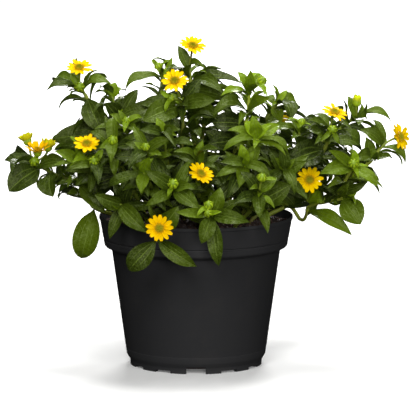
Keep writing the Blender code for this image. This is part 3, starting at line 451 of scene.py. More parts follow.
# Moist peat: almost black-brown, with redder bark dust and no gloss but a faint damp sheen.
peat, tree, spot = new_material("moist_peat")
clods = node(tree, "TexNoise", {"Vector": spot, "Scale": 1 / (4 * MM), "Detail": 8, "Roughness": 0.7})
grains = node(tree, "TexVoronoi", {"Vector": spot, "Scale": 1 / (1.3 * MM)})
ramp = node(tree, "ValToRGB", {"Fac": clods})
for stop, place, shade in zip(ramp.color_ramp.elements, (0.3, 0.72), ("#120b08", "#4a3226")):
    stop.position = place
    stop.color = linear(shade)
relief = node(tree, "Bump", {"Height": grains, "Strength": 0.6, "Distance": 0.5 * MM})
rough = node(tree, "Bump", {"Height": clods, "Strength": 0.7, "Distance": 0.6 * MM, "Normal": relief})
shader = node(tree, "BsdfPrincipled", {"Base Color": ramp, "Roughness": 0.88, "Normal": rough})
node(tree, "OutputMaterial", {"Surface": shader})

# Bark fibre: dry, pale brown and split along its length, in streaks about 0.9 mm wide.
bark, tree, spot = new_material("bark_fibre")
streak = node(tree, "TexNoise", {"Vector": spot, "Scale": 1 / (0.9 * MM), "Detail": 4})
colour = node(tree, "MixRGB", {"Fac": streak, "Color1": "#2c1b12", "Color2": "#8a6446"})
relief = node(tree, "Bump", {"Height": streak, "Strength": 0.5, "Distance": 0.1 * MM})
shader = node(tree, "BsdfPrincipled", {"Base Color": colour, "Roughness": 0.8, "Normal": relief})
node(tree, "OutputMaterial", {"Surface": shader})

soil = make_soil()
soil.data.materials.append(peat)
soil.data.materials.append(bark)
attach(soil, "root")
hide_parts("soil")


# Stems and flower stalks
#
# Creeping zinnia stems are thin, round and solid, green at the tips and reddish brown below, with swollen
# joints where the leaves sit and short stiff hairs all along. Each bloom has its own bare stalk.

STEM_TOP_RADIUS = 0.95
STEM_FOOT_RADIUS = 1.35
FORK_RADIUS = 1.05
STALK_RADIUS = 0.68
STEM_STEP = 1.3
STALK_STEPS = 12
FINE_SIDES = 9
JOINT_REACH = 1.1
JOINT_SWELLING = 0.28
ROOT_BOTTOM = 80.0
ROOT_RISE = 1.5
SEAT_DEPTH = 3.4
HAIR_RADIUS = 0.05
HAIR_LENGTH = 0.55
HAIR_EVERY = 0.42

# A shoot starts at a root (x, y) in the soil, or from a place on another shoot. Its path, leaves and buds
# are in the photograph's measures: across, up from the rim's middle, and depth. A leaf is its place on the
# path, its tip's three measures, its width, how far it turns its face to the front, and its arch. Pairs are
# the places of opposite leaves that grow by rule. A bud ends with its radius.
SHOOTS = {
    "left_high": dict(
        root=(-24, 2), path=((-34, 20, 0), (-48, 50, -2), (-63, 66, -5), (-71, 78, -6)),
        buds=((-72, 79, -14, 3),),
        leaves=(
            (4, -93, 80, -12, 10, 0.35, 0.12), (4, -90, 85, 12, 8, 0, 0.2),
            (3.95, -52, 81, -8, 9, 0.3, 0.35), (3.95, -55, 86, 14, 8, 0, 0.2),
            (4, -74, 97, 10, 7, -0.6, 0.1), (3.6, -59, 52, -20, 14, 0.9, 0.15),
            (2, -88, 47, 4, 15, 0.6, 0.07),
        ),
    ),
    "left_fork": dict(
        start=("left_high", 2.1), path=((-49, 60, -14), (-52, 73, -14)),
        leaves=(
            (2, -50, 82, -15, 8, 0.9, 0.08), (1.9, -60, 79, -18, 6, 0.2, 0.3),
            (1.9, -43, 78, -10, 6, 0.3, 0.25), (1, -56, 69, -26, 11, 0.8, 0.1),
            (1, -43, 64, -22, 9, 0.6, 0.15),
        ),
    ),
    "left_bud": dict(
        start=("left_high", 1.9), path=((-43, 48, -16), (-43, 56, -27)), pairs=(1.2,),
        buds=((-43, 58, -30, 2.4),),
    ),
    "far_left": dict(
        root=(-40, -9), path=((-59, 9, -12), (-70, 20, -9), (-83, 23, -8), (-99, 31, -9)),
        buds=((-100, 33, -14, 3.2),),
        leaves=(
            (4, -119, 34, -10, 9, 0.4, 0.15), (4, -114, 41, 8, 9, 0.3, 0.25),
            (3.95, -114, 25, -32, 9, 0.5, 0.3), (3.95, -80, 33, -24, 10, 0.5, 0.15),
            (3.85, -116, 15, -24, 17, 0.8, 0.12), (3.5, -90, 12, -24, 14, 0.6, 0.12),
            (3, -82, 25, -34, 9, 0.7, 0.15), (2.1, -90, 25, -2, 13, 0.7, 0.1),
        ),
    ),
    "left_rim": dict(
        root=(-43, 4),
        path=((-60, 2.8, -6), (-67, 9.5, -10), (-72, 19, -15), (-72, 29, -22), (-68, 36, -33)), pairs=(5,),
        leaves=(
            (1.4, -71.5, -29.5, -18, 16.5, 0.95, 0.2), (2.2, -80, 12.5, -18, 8, 0.5, 0.15),
            (3.05, -57, 2, -40, 10, 0.8, 0.15), (4.2, -87, 40, -34, 8, 0.4, 0.2),
        ),
    ),
    "left_rim_fork": dict(
        start=("left_rim", 3.2), path=((-66, 26, -30), (-63, 32, -45)), pairs=(1.3, 2),
        buds=((-63, 33, -48, 3),),
    ),
    "left_middle": dict(
        root=(-30, -14), path=((-42, 22, -26), (-50, 38, -37), (-51, 43, -43)), pairs=(1.5, 2.3, 3),
        buds=((-51.5, 46, -47, 3),),
        leaves=((3, -59, 42, -52, 7, 0.6, 0.15), (1.2, -67, 17, -30, 11, 0.8, 0.12)),
    ),
    "left_low": dict(
        start=("left_middle", 0.7), path=((-42, 8, -42), (-47, 6, -56)), pairs=(1.3,),
        leaves=((2, -29, -12, -71, 11, 0.8, 0.25), (1.8, -62, 12, -66, 9, 0.6, 0.2)),
    ),
    "top_left": dict(
        root=(-10, 9), path=((-16, 30, 7), (-21, 70, 5), (-21, 86, 4)), pairs=(1.4,),
        buds=((-23.5, 92, -1, 2.4), (-18, 89, -4, 1.9)),
        leaves=(
            (3, -46, 80, -6, 9, 0.35, 0.17), (1.7, -42, 65, -4, 13, 0.7, 0.12),
            (3, -26, 98.5, 2, 6, 0, 0.42), (2.05, -35, 81, 8, 5, 0, 0.1), (2.1, -5, 70, 12, 9, 0.3, 0.2),
        ),
    ),
    "top": dict(
        root=(0, 4), path=((-1, 30, 5), (-2, 70, 5), (-4, 88, 4)), pairs=(1.5, 2.1),
        leaves=(
            (3, -11, 105.5, 8, 7, 0.7, 0.05), (3, 6, 92, -4, 7, 0.4, 0.45), (2.95, 8, 89, 13, 6, 0, 0.4),
            (2.8, -17.5, 92, -8, 8, 0.3, 0.1), (2.7, 28, 82, -6, 11, 0.3, 0.14),
            (2.6, 16, 78, -23, 10, 0.5, 0.2), (1.9, 13, 62, -8, 11, 0.8, 0.1),
            (2.4, 22, 71, -4, 10, 0.7, 0.15),
        ),
    ),
    "top_front": dict(
        root=(-7, -9), path=((-9, 25, -15), (-8, 58, -18), (-9, 69, -24)), pairs=(1.6,),
        buds=((-15.5, 72, -37, 2),),
        leaves=(
            (2.9, -32, 59, -46, 15, 0.8, 0.12), (3, -5, 67, -43, 9, 0.8, 0.1),
            (2.8, -35, 68.5, -24, 10, 0.4, 0.15), (3, 11, 71, -37, 10, 0.8, 0.12),
            (3, 3, 84, -26, 9, 0.9, 0.05),
        ),
    ),
    "top_right": dict(
        root=(10, 0), path=((20, 28, -4), (31, 57, -8), (33, 76, -12)), pairs=(1.5,),
        buds=((41, 83, -22, 3),),
        leaves=(
            (3, 26, 89, -10, 6, 0.4, 0.1), (3, 34, 88, -20, 7, 0.9, 0.05), (3, 45, 85, -6, 9, 0.3, 0.25),
            (2.9, 44, 78, -30, 7, 0.3, 0.3), (2.9, 16, 76, -29, 8, 0.3, 0.15),
            (2.3, 44.5, 72.5, -30, 9, 0.7, 0.1), (2.3, 9.5, 64.5, -27, 12, 0.35, 0.28),
            (2, 10, 57, -16, 13, 0.8, 0.12), (1.6, 8, 44, -20, 13, 0.8, 0.1),
            (1.3, 6, 52, -12, 12, 0.7, 0.1),
        ),
    ),
    "right_front_high": dict(
        root=(14, -18), path=((24, 16, -31), (34, 37, -41), (38, 47, -48)), pairs=(1.5, 2.3),
        leaves=(
            (3, 35.5, 60, -56, 8, 0.95, 0.05), (3, 31, 58.5, -43, 7, 0.7, 0.1),
            (2.95, 16, 40, -57, 6, 0, 0.3), (2.95, 59.5, 38.5, -53, 6, 0, 0.3),
            (0.8, 9, 34, -34, 12, 0.8, 0.1), (3, 52, 56, -40, 8, 0.4, 0.15),
        ),
    ),
    "middle_front_fork": dict(
        start=("right_front_high", 1.5), path=((28, 26, -46), (30, 31, -58)), pairs=(1.3, 2),
        leaves=((2, 28.5, 43, -63, 7, 0.8, 0.1), (2, 27, 17, -72, 8, 0.8, 0.15)),
    ),
    "right_back_high": dict(
        root=(18, 12), path=((32, 40, 14), (44, 60, 14), (50, 69, 12)), pairs=(1.4, 2.1),
        leaves=(
            (3, 59, 58, 0, 12, 0.3, 0.45), (3, 64, 65, 14, 10, 0.2, 0.4), (2.7, 70.5, 58, 20, 7, 0, 0.1),
            (2.7, 52, 57, 2, 8, 0.6, 0.1), (2.9, 38, 72, 20, 9, 0.2, 0.2),
        ),
    ),
    "right_middle": dict(
        root=(26, -6), path=((46, 24, -13), (62, 40, -15), (64, 51, -16)), pairs=(1.4, 2.2),
        buds=((65.5, 57.5, -18, 2.4),),
        leaves=(
            (3, 46, 53.5, -28, 9, 0.3, 0.15), (3, 80, 46, -28, 8, 0.2, 0.3), (3, 78, 59, -4, 11, 0.5, 0.15),
            (1.7, 40, 41, -26, 10, 0.7, 0.1), (0.9, 62, 6, -20, 12, 0.8, 0.12),
        ),
    ),
    "right_inner_fork": dict(
        start=("right_middle", 1.2), path=((52, 24, -30), (55, 28, -45)), pairs=(1.4, 2),
    ),
    "right_high": dict(
        root=(34, -13), path=((58, 20, -8), (78, 38, -17), (83, 53, -24)), buds=((84.5, 52.5, -38, 2.7),),
        leaves=(
            (3, 72.5, 63.5, -14, 6, 0.1, 0.2), (2.95, 69.5, 59, -33, 7, 0.2, 0.15),
            (3, 95, 57, -38, 6, 0.4, 0.1), (2.2, 57.5, 33, -43, 17, 0.8, 0.12),
            (2.5, 103, 42, -14, 16, 0.3, 0.28),
        ),
    ),
    "right_back_tall": dict(
        root=(32, 8), path=((60, 30, 8), (86, 50, 8), (99, 61, 6)), pairs=(1.5, 2.2),
        leaves=(
            (3, 94.5, 73.5, 0, 7, 0.7, 0.05), (3, 106, 68.5, -6, 8, 0.6, 0.1),
            (3, 122.5, 60.5, 3, 8, 0.3, 0.17), (2.8, 101, 56, -14, 8, 0.6, 0.1),
        ),
    ),
    "far_right": dict(
        root=(41, 0), path=((70, 12, 4), (92, 22, -3), (105, 30, -9), (115, 42, -9)), pairs=(1.6,),
        leaves=(
            (4, 110, 60, -2, 7, 0.5, 0.2), (4, 102, 53.5, -18, 10, 0.6, 0.28),
            (4, 131.5, 32, -13, 8, 0.4, 0.28), (3.4, 99.5, 35.5, -33, 10, 0.5, 0.15),
            (3.2, 106, 48, -28, 9, 0.7, 0.1), (2.4, 84, 42, -14, 11, 0.7, 0.1),
        ),
    ),
    "right_low_fork": dict(
        start=("far_right", 1.5), path=((88, 13, -24), (93, 22, -31), (97, 29, -36)),
        buds=((97.5, 31.5, -43, 3),),
        leaves=(
            (3, 112.5, 17.5, -43, 8, 0.5, 0.28), (3, 76.5, 26, -49, 10, 0.5, 0.22),
            (3, 83, 40, -53, 7, 0.7, 0.1), (3, 98.5, 40, -49, 6, 0.6, 0.1),
        ),
    ),
    "right_rim": dict(
        root=(37, 19), path=((56, 6, 20), (64.5, -3, 12), (68, -1, 4), (69.5, 9, -7)),
        buds=((72.5, 32, -5, 3.2),),
        leaves=((3.4, 97, -12, -22, 9.6, 0.4, 0.2), (4, 80, 9.5, 2, 10, 0.3, 0.3)),
    ),
    "right_low": dict(
        start=("right_rim", 3.6), path=((77, 7.5, -10), (85, 8.5, -14), (91, 10, -18)),
        leaves=(
            (3, 102, -6, -28, 15.5, 0.9, 0.1), (3, 99.5, 8, -35, 5, 0.6, 0.1),
            (3, 99, 17.5, -8, 4, 0.2, 0.2),
        ),
    ),
    "front_right": dict(
        root=(24, -33), path=((34, 3, -51), (39, 14, -64)), pairs=(1.6,), buds=((41, 23, -71, 2.8),),
        leaves=(
            (2, 39.5, -1, -82, 8, 0.9, 0.1), (2, 29, 27, -68, 8, 0.6, 0.1),
            (1.3, 59, 18.5, -62, 15, 0.9, 0.1), (0.9, 26, 20, -50, 10, 0.8, 0.1),
            (2, 51, 24, -74, 7, 0.6, 0.2), (1.1, 46, -9, -76, 8, 0.5, 0.25),
        ),
    ),
    "front_middle": dict(
        root=(8, -38), path=((9, -3.5, -57), (10, 0, -75)), buds=((8, 6, -82, 2.8), (7.5, 1, -84, 2.4)),
        leaves=(
            (2, 15.5, 16, -86, 10, 0.9, 0.08), (2, 4, -17.5, -86, 10, 0.95, 0.12),
            (2, 34.5, -4.5, -86, 9, 0.5, 0.28), (2, -12, 1.5, -84, 6, 0.4, 0.15),
            (1.9, 14, -33, -80, 9.5, 1, 0.1),
        ),
    ),
    "front_low": dict(
        root=(-16, -37), path=((-21, -5, -57), (-24, -16, -75)),
        leaves=(
            (2, -42.5, -35, -77, 14, 0.95, 0.1), (2, 1, -32.5, -80, 10, 0.8, 0.22),
            (1.6, -11, 4, -78, 12, 0.7, 0.1),
        ),
    ),
    "front_left": dict(
        root=(-15, -24), path=((-22, 8, -44), (-32, 26, -68)), pairs=(1.5,),
        leaves=(
            (2, -28.5, 35.5, -75, 9, 0.8, 0.05), (2, -56, 17.5, -65, 7, 0.4, 0.22),
            (2, -34, 14, -80, 8, 0.8, 0.1),
        ),
    ),
    "front_left_fork": dict(
        start=("front_left", 0.8), path=((-17, 12, -56), (-13, 16, -67)), buds=((-14, 19, -74, 3.2),),
        leaves=(
            (2, 2.5, 3.5, -80, 10, 0.8, 0.12), (2, -30, 27, -80, 9, 0.8, 0.1),
            (2, -4, 34, -67, 6, 0.5, 0.15), (2, -2, 17.5, -82, 7, 0.6, 0.1),
        ),
    ),
    "middle_front": dict(
        root=(2, -22), path=((2, 16, -36), (1, 32, -46)), pairs=(1.4,),
        leaves=(
            (2, -11, 41, -64, 6, 0.5, 0.12), (2, 14, 41, -65, 6, 0.3, 0.25), (2, 4, 46, -56, 7, 0.7, 0.08),
            (0.8, 14, 11, -44, 9, 0.8, 0.1),
        ),
    ),
    "middle_low": dict(
        start=("middle_front", 0.6), path=((1, 15, -46),),
    ),
    "left_front_high": dict(
        root=(-14, -13), path=((-17, 28, -29), (-20, 50, -48)), pairs=(1.3, 1.7),
        leaves=(
            (2, -34, 53, -60, 7, 0.6, 0.1), (2, -11, 53.5, -60, 7, 0.6, 0.1), (2, -24, 60, -50, 6, 0.5, 0.1),
            (1.9, -14, 46, -70, 7, 0.4, 0.2),
        ),
    ),
    "left_front_fork": dict(
        start=("left_front_high", 1.2), path=((-27, 32, -45), (-30, 39, -60)), pairs=(1.3, 2),
        buds=((-31, 42, -64, 2.4),),
    ),
    "back_left": dict(
        root=(-26, 18), path=((-46, 26, 34), (-66, 38, 52), (-74, 44, 60)), pairs=(1.1, 1.9, 2.8),
    ),
    "back_left_fork": dict(
        start=("back_left", 1.2), path=((-50, 24, 62), (-54, 26, 84)), pairs=(0.9, 1.7),
        buds=((-54, 28, 87, 2.8),),
    ),
    "back": dict(
        root=(-11, 27), path=((-18, 34, 46), (-26, 48, 66), (-30, 50, 84)), pairs=(1.1, 1.9, 2.7),
    ),
    "back_fork": dict(
        start=("back", 1.1), path=((-10, 28, 68), (-6, 28, 94)), pairs=(1, 1.8), buds=((-6, 30, 97, 3),),
    ),
    "back_high": dict(
        root=(3, 19), path=((4, 46, 28), (7, 66, 38), (8, 74, 44)), pairs=(1.3, 2.1, 2.9),
        buds=((8, 78, 46, 2.6),),
    ),
    "back_inner_left": dict(
        start=("back_high", 0.6), path=((-9, 36, 33), (-18, 50, 40)), pairs=(0.9, 2),
    ),
    "back_inner_right": dict(
        start=("back_high", 0.8), path=((16, 38, 34), (25, 52, 42)), pairs=(1, 2),
    ),
    "back_right": dict(
        root=(16, 30), path=((28, 36, 50), (42, 50, 68), (48, 54, 78)), pairs=(1.1, 1.9, 2.8),
    ),
    "back_right_fork": dict(
        start=("back_right", 1.1), path=((22, 28, 74), (20, 32, 98)), pairs=(1, 1.8),
        buds=((20, 34, 101, 2.8),),
    ),
    "back_far_right": dict(
        root=(30, 32), path=((56, 32, 44), (80, 42, 56), (88, 46, 62)), pairs=(1.1, 1.9, 2.8),
    ),
    "back_far_right_fork": dict(
        start=("back_far_right", 1.2), path=((64, 24, 72), (68, 26, 88)), pairs=(1, 1.8),
        buds=((68, 28, 91, 2.8),),
    ),
}

# Each bloom: the shoot that carries it, its kind, its middle in the same measures, and the way it faces.
BLOOMS = {
    "bloom_left_high": ("left_high", "open", (-72, 90.5, -9), (0, -0.48, 0.88)),
    "bloom_far_left": ("far_left", "old", (-98, 39, -13), (0, -0.3, 0.95)),
    "bloom_far_left_young": ("far_left", "half", (-104.5, 46, 0), (-0.3, 0, 1)),
    "bloom_far_left_small": ("far_left", "half", (-91.5, 42, 4), (0.2, -0.1, 1)),
    "bloom_left": ("left_rim", "open", (-67.5, 43.5, -41), (0, -0.57, 0.82)),
    "bloom_top": ("top", "open", (-2, 104, -2), (0.12, -0.47, 0.87)),
    "bloom_top_front": ("top_front", "open", (-13, 82.5, -34), (-0.08, -0.72, 0.69)),
    "bloom_middle": ("middle_low", "open", (3, 25, -58), (0.4, -0.6, 0.7)),
    "bloom_front_low": ("front_low", "open", (-22.3, -8.4, -89), (0, -0.97, 0.25)),
    "bloom_right_high": ("right_high", "open", (85.7, 63, -29), (0.28, -0.4, 0.87)),
    "bloom_right_young": ("right_back_tall", "half", (99.6, 70, 3), (0.1, 0, 1)),
    "bloom_far_right": ("far_right", "open", (126, 48, -12), (0.74, -0.58, 0.32)),
    "bloom_right_hidden": ("right_low_fork", "open", (98.5, 25, -20), (0.5, 0.3, 0.8)),
    "bloom_right_low": ("right_rim", "open", (70.5, 21.3, -34), (-0.1, -0.93, 0.35)),
    "bloom_back_left": ("back_left", "open", (-78, 50, 66), (-0.4, 0.5, 0.75)),
    "bloom_back": ("back", "open", (-31, 56, 92), (-0.1, 0.75, 0.65)),
    "bloom_back_right": ("back_right", "open", (51, 60, 86), (0.2, 0.7, 0.7)),
    "bloom_back_far_right": ("back_far_right", "open", (93, 50, 68), (0.6, 0.4, 0.7)),
}

# How fresh a shoot's green is and how brown its foot is, from 0 to 1, where it isn't as on most.
YOUNG_SHOOTS = {
    "top_right": 0.5, "right_front_high": 0.35, "right_low": 0.4, "right_low_fork": 0.35,
    "left_rim": 0.4, "right_rim": 0.4, "front_middle": 0.2, "middle_front_fork": 0.2,
    "far_right": 0.2, "left_high": 0.2, "top": 0.2,
}
BROWN_STEMS = {
    "left_high": 1.0, "top_front": 0.6, "right_middle": 0.7, "right_high": 0.7,
    "right_rim": 0.35, "back_high": 0.6, "far_left": 0.5, "top": 0.6,
}
BROWN_STALKS = ("bloom_top", "bloom_top_front", "bloom_left")


def smooth_point(points, place):
    """The point at a place along a smooth curve through the points, 0 being the first."""
    index = min(int(place), len(points) - 2)
    share = place - index
    before = points[index - 1] if index else points[0] * 2 - points[1]
    here, after = points[index], points[index + 1]
    beyond = points[index + 2] if index + 2 < len(points) else after * 2 - here
    return (
        here * 2
        + (after - before) * share
        + (before * 2 - here * 5 + after * 4 - beyond) * share**2
        + (here * 3 - before - after * 3 + beyond) * share**3
    ) / 2


def node_of(name):
    """The stem that a shoot belongs to: its own, or that of the shoot it forks from."""
    while "start" in SHOOTS[name]:
        name = SHOOTS[name]["start"][0]
    return "stem_" + name


def path_points(name):
    """The points of a shoot, from its root's top or its fork."""
    shoot = SHOOTS[name]
    path = [seen(*point) for point in shoot["path"]]
    if "root" in shoot:
        x, y = shoot["root"]
        return [Vector((x, y, soil_level(math.hypot(x, y)) + ROOT_RISE))] + path
    parent, place = shoot["start"]
    return [smooth_point(path_points(parent), place)] + path


def stem_end(name):
    points = path_points(name)
    return points[-1], (points[-1] - points[-2]).normalized()


# Blooms as (shoot, kind, middle, axis) and buds as (shoot, middle, axis, radius), in Blender's axes.
HEADS = {
    name: (shoot, kind, seen(*centre), Vector(axis).normalized())
    for name, (shoot, kind, centre, axis) in BLOOMS.items()
}
BUDS = []
for name, shoot in SHOOTS.items():
    for *centre, radius in shoot.get("buds", ()):
        BUDS.append((name, seen(*centre), (seen(*centre) - stem_end(name)[0]).normalized(), radius))


def stalk(shoot, end, arrive, steps):
    """A stalk's line: it leaves along the stem, a little inside it, and arrives along the head's axis."""
    top, leave = stem_end(shoot)
    start = top - leave
    reach = (end - start).length / 3
    first, second = start + leave * reach, end - arrive * reach
    line = []
    for step in range(steps + 1):
        s = step / steps
        ends = start * (1 - s) ** 3 + end * s**3
        line.append(ends + first * (3 * s * (1 - s) ** 2) + second * (3 * s**2 * (1 - s)))
    return line


def frame_along(direction, hint):
    """Two unit vectors across a direction, the second as near the hint as it can be."""
    across = direction.cross(hint)
    if across.length < 1e-4:
        across = direction.orthogonal()
    across.normalize()
    return across, across.cross(direction)


def tube(line, radii, sides):
    """Rings of points round a line, closed at both ends, as lists of points and faces."""
    points = []
    hint = Vector((0, -1, 0.3))
    for index, point in enumerate(line):
        before, after = line[max(index - 1, 0)], line[min(index + 1, len(line) - 1)]
        side, hint = frame_along((after - before).normalized(), hint)
        for step in range(sides):
            angle = math.tau * (step + 0.5) / sides
            points.append(point + radii[index] * (math.cos(angle) * side + math.sin(angle) * hint))
    return points, capped_rings(len(line), sides)


class Growth:
    """One piece's growing mesh: points, faces, their place on the part and their tone."""

    def __init__(self):
        self.points, self.faces, self.places, self.tones = [], [], [], []

    def add(self, points, faces, places, tones):
        """Places are (u, v) and tones (age, a second tone, side), in a list or one for all the points. On
        leaves the second tone is painted shade with a random part.
        """
        self.faces += moved(faces, len(self.points))
        self.points += points
        self.places += places if isinstance(places, list) else [places] * len(points)
        self.tones += tones if isinstance(tones, list) else [tones] * len(points)

    def build(self, name, finish, sharp=60):
        """The mesh object, with a UV map for the places and a colour attribute for the tones."""
        mesh = bpy.data.meshes.new(name)
        mesh.from_pydata([tuple(point * MM) for point in self.points], [], self.faces)
        bm = bmesh.new()
        bm.from_mesh(mesh)
        bmesh.ops.recalc_face_normals(bm, faces=bm.faces)
        bm.to_mesh(mesh)
        bm.free()
        mesh.shade_smooth()
        mesh.set_sharp_from_angle(angle=math.radians(sharp))
        corners = np.empty(len(mesh.loops), dtype=int)
        mesh.loops.foreach_get("vertex_index", corners)
        layer = mesh.uv_layers.new(name="place")
        layer.data.foreach_set("uv", np.array(self.places, dtype=float)[corners].ravel())
        tone = mesh.color_attributes.new("tone", "FLOAT_COLOR", "POINT")
        opaque = np.ones((len(self.points), 1))
        tone.data.foreach_set("color", np.hstack((np.array(self.tones, dtype=float), opaque)).ravel())
        mesh.materials.append(finish)
        return place_object(name, mesh)


def hairs(growth, draw, line, radii, fresh):
    """Short stiff hairs that lean forward along a stem, each a thin three-sided spike."""
    for index in range(1, len(line) - 1):
        ahead = (line[index + 1] - line[index]).normalized()
        side, other = frame_along(ahead, Vector((0, -1, 0.3)))
        count = (line[index + 1] - line[index]).length / HAIR_EVERY
        for _ in range(int(count + draw.random())):
            angle, along = draw.uniform(0, math.tau), draw.random()
            out = side * math.cos(angle) + other * math.sin(angle)
            root = line[index].lerp(line[index + 1], along) + out * (radii[index] * 0.93)
            way = (out + ahead * draw.uniform(0.2, 0.9)).normalized()
            first, second = (width * HAIR_RADIUS for width in frame_along(way, ahead))
            tip = root + way * (HAIR_LENGTH * draw.uniform(0.5, 1))
            corners = [root + first, root - first * 0.6 + second, root - second, tip]
            growth.add(corners, [(0, 1, 3), (1, 2, 3), (2, 0, 3), (0, 2, 1)], (0.5, 0.5), (fresh, 0, 0))


def stem_line(name):
    """Points, radii and shares along a shoot, from under the soil's top or inside its parent."""
    shoot, points = SHOOTS[name], path_points(name)
    last = len(points) - 1
    foot = STEM_FOOT_RADIUS if "root" in shoot else FORK_RADIUS
    places = {leaf[0] for leaf in shoot.get("leaves", ())} | set(shoot.get("pairs", ()))
    joints = [smooth_point(points, min(place, last)) for place in sorted(places)]
    line, radii, shares = [], [], []
    for index in range(last):
        steps = max(2, round((points[index + 1] - points[index]).length / STEM_STEP))
        for step in range(steps + (index == last - 1)):
            place = index + step / steps
            point = smooth_point(points, place)
            swell = sum(math.exp(-(((point - joint).length / JOINT_REACH) ** 2)) for joint in joints)
            radius = foot + (STEM_TOP_RADIUS - foot) * place / last
            line.append(point)
            radii.append(radius * (1 + JOINT_SWELLING * min(swell, 1.2)))
            shares.append(place / last)
    if "root" in shoot:
        line.insert(0, Vector((points[0].x, points[0].y, ROOT_BOTTOM)))
        radii.insert(0, STEM_FOOT_RADIUS)
        shares.insert(0, 0)
    return line, radii, shares


def grow_fine_stem(growth, draw, name):
    line, radii, shares = stem_line(name)
    young, brown = YOUNG_SHOOTS.get(name, 0), BROWN_STEMS.get(name, 0.15)
    tones, places = [], []
    for share in shares:
        tones += [(min(1, 0.25 + young * (1 + share)), brown * (1 - share * 0.6), 0)] * FINE_SIDES
        places += [(side / FINE_SIDES, share) for side in range(FINE_SIDES)]
    growth.add(*tube(line, radii, FINE_SIDES), places, tones)
    hairs(growth, draw, line[1:], radii[1:], 0.5 + young * 0.5)


def grow_fine_stalk(growth, draw, shoot, end, axis, brown):
    """A bare stalk, a little thicker at both ends and browner towards its head."""
    line = stalk(shoot, end, axis, STALK_STEPS)
    shares = [step / STALK_STEPS for step in range(STALK_STEPS + 1)]
    radii = [STALK_RADIUS + 0.15 * abs(2 * share - 1) ** 3 for share in shares]
    places = [(0, share) for share in shares for _ in range(FINE_SIDES)]
    tones = [(0.35, brown * share, 0) for share in shares for _ in range(FINE_SIDES)]
    growth.add(*tube(line, radii, FINE_SIDES), places, tones)
    hairs(growth, draw, line, radii, 0.5)


def tissue(name):
    """A plant skin: its material, tree and object point, and the tones age, a second tone and side. On leaves
    the second tone is painted shade.
    """
    made, tree, spot = new_material(name)
    tone = node(tree, "SeparateColor", {"Color": node(tree, "VertexColor", layer_name="tone")})
    return made, tree, spot, tone.outputs


# Herbaceous stem: soft green skin that turns reddish brown in blotches with age and light, with low bumps
# about 0.8 mm apart. The blotches and the low gloss tell it from the leaves.
stem_skin, tree, spot, tone = tissue("herbaceous_stem_skin")
blotch = node(tree, "TexNoise", {"Vector": spot, "Scale": 1 / (5 * MM), "Detail": 4})
green = node(tree, "MixRGB", {"Fac": tone[0], "Color1": "#546814", "Color2": "#a6b43c"})
range_of_red = {"From Min": 0.3, "From Max": 0.65, "To Min": 0.35, "To Max": 1.0}
reddened = node(tree, "MapRange", {"Value": blotch, **range_of_red})
share = node(tree, "Math", {0: reddened, 1: tone[1]}, operation="MULTIPLY")
colour = node(tree, "MixRGB", {"Fac": share, "Color1": green, "Color2": "#55301c"})
bumps = node(tree, "TexNoise", {"Vector": spot, "Scale": 1 / (0.8 * MM), "Detail": 2})
relief = node(tree, "Bump", {"Height": bumps, "Strength": 0.4, "Distance": 0.1 * MM})
soft = {"Roughness": 0.55, "IOR": 1.4}
shader = node(tree, "BsdfPrincipled", {"Base Color": colour, "Normal": relief, **soft})
node(tree, "OutputMaterial", {"Surface": shader})

draw = random.Random(5)
stems = {}
for name in SHOOTS:
    grow_fine_stem(stems.setdefault(node_of(name), Growth()), draw, name)
for name, (shoot, _, centre, axis) in HEADS.items():
    brown = 0.8 if name in BROWN_STALKS else 0.2
    grow_fine_stalk(stems[node_of(shoot)], draw, shoot, centre - axis * SEAT_DEPTH, axis, brown)
for shoot, centre, axis, radius in BUDS:
    grow_fine_stalk(stems[node_of(shoot)], draw, shoot, centre - axis * radius, axis, 0.1)
for cad_node, growth in stems.items():
    stem = growth.build(cad_node.replace("stem_", "stalks_"), stem_skin)
    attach(stem, "root")
    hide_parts(cad_node)


# Leaves
#
# Thin, entire, lance-shaped leaves in opposite pairs, folded up along the midrib, with three main veins and
# a recurved tip. They are dark grey-green when old and bright yellow-green at the young tips.

# The solids' plain stems, stalks and leaves, which tell where their leaves found room.
COARSE_STEM_RADIUS = 1.45
COARSE_STALK_RADIUS = 0.75
COARSE_THICKNESS = 1.1
BRANCH_RADIUS = 1.15
BRANCH_TOP_RADIUS = 1.0
LONG_STEP = 17.0
LEAF_FOLD = 0.22
LEAF_STATIONS = ((0.26, 0.74), (0.52, 1.0), (0.79, 0.62))
SMALL_LEAF_STATIONS = ((0.34, 0.96), (0.68, 0.9))
SMALL_LEAF_WIDTH = 9.5
WIDEST_RULED_LEAF = 9.4
BROAD_LEAF_WIDTH = 12.0
LEAF_CLEARANCE = 0.3
LEAF_FOOT_OUT = 0.5
LEAF_FOOT_DOWN = 1.2
BLOOM_RADIUS = 8.2
BLOOM_GAP = 0.3
CUP_RADIUS = 2.7
BUD_SIDES = 4
BLOOM_GUARD_SIDES = 10
POT_GUARD_SIDES = 24

# How a leaf is moved and shortened, step after step, until it has room.
DEPTH_STEPS = (0, -3, 3, -6, 6, -10, 10, -14, 14)
ARCH_STEPS = (0.7, 0.4, 1.1)
LISTED_LENGTHS = (1, 0.85)
RULED_LENGTHS = (1, 0.8, 0.62)
LIFT_STEPS = (0, -14, 14, -26)
SWING_STEPS = (0, 16, -16, 32, -32)

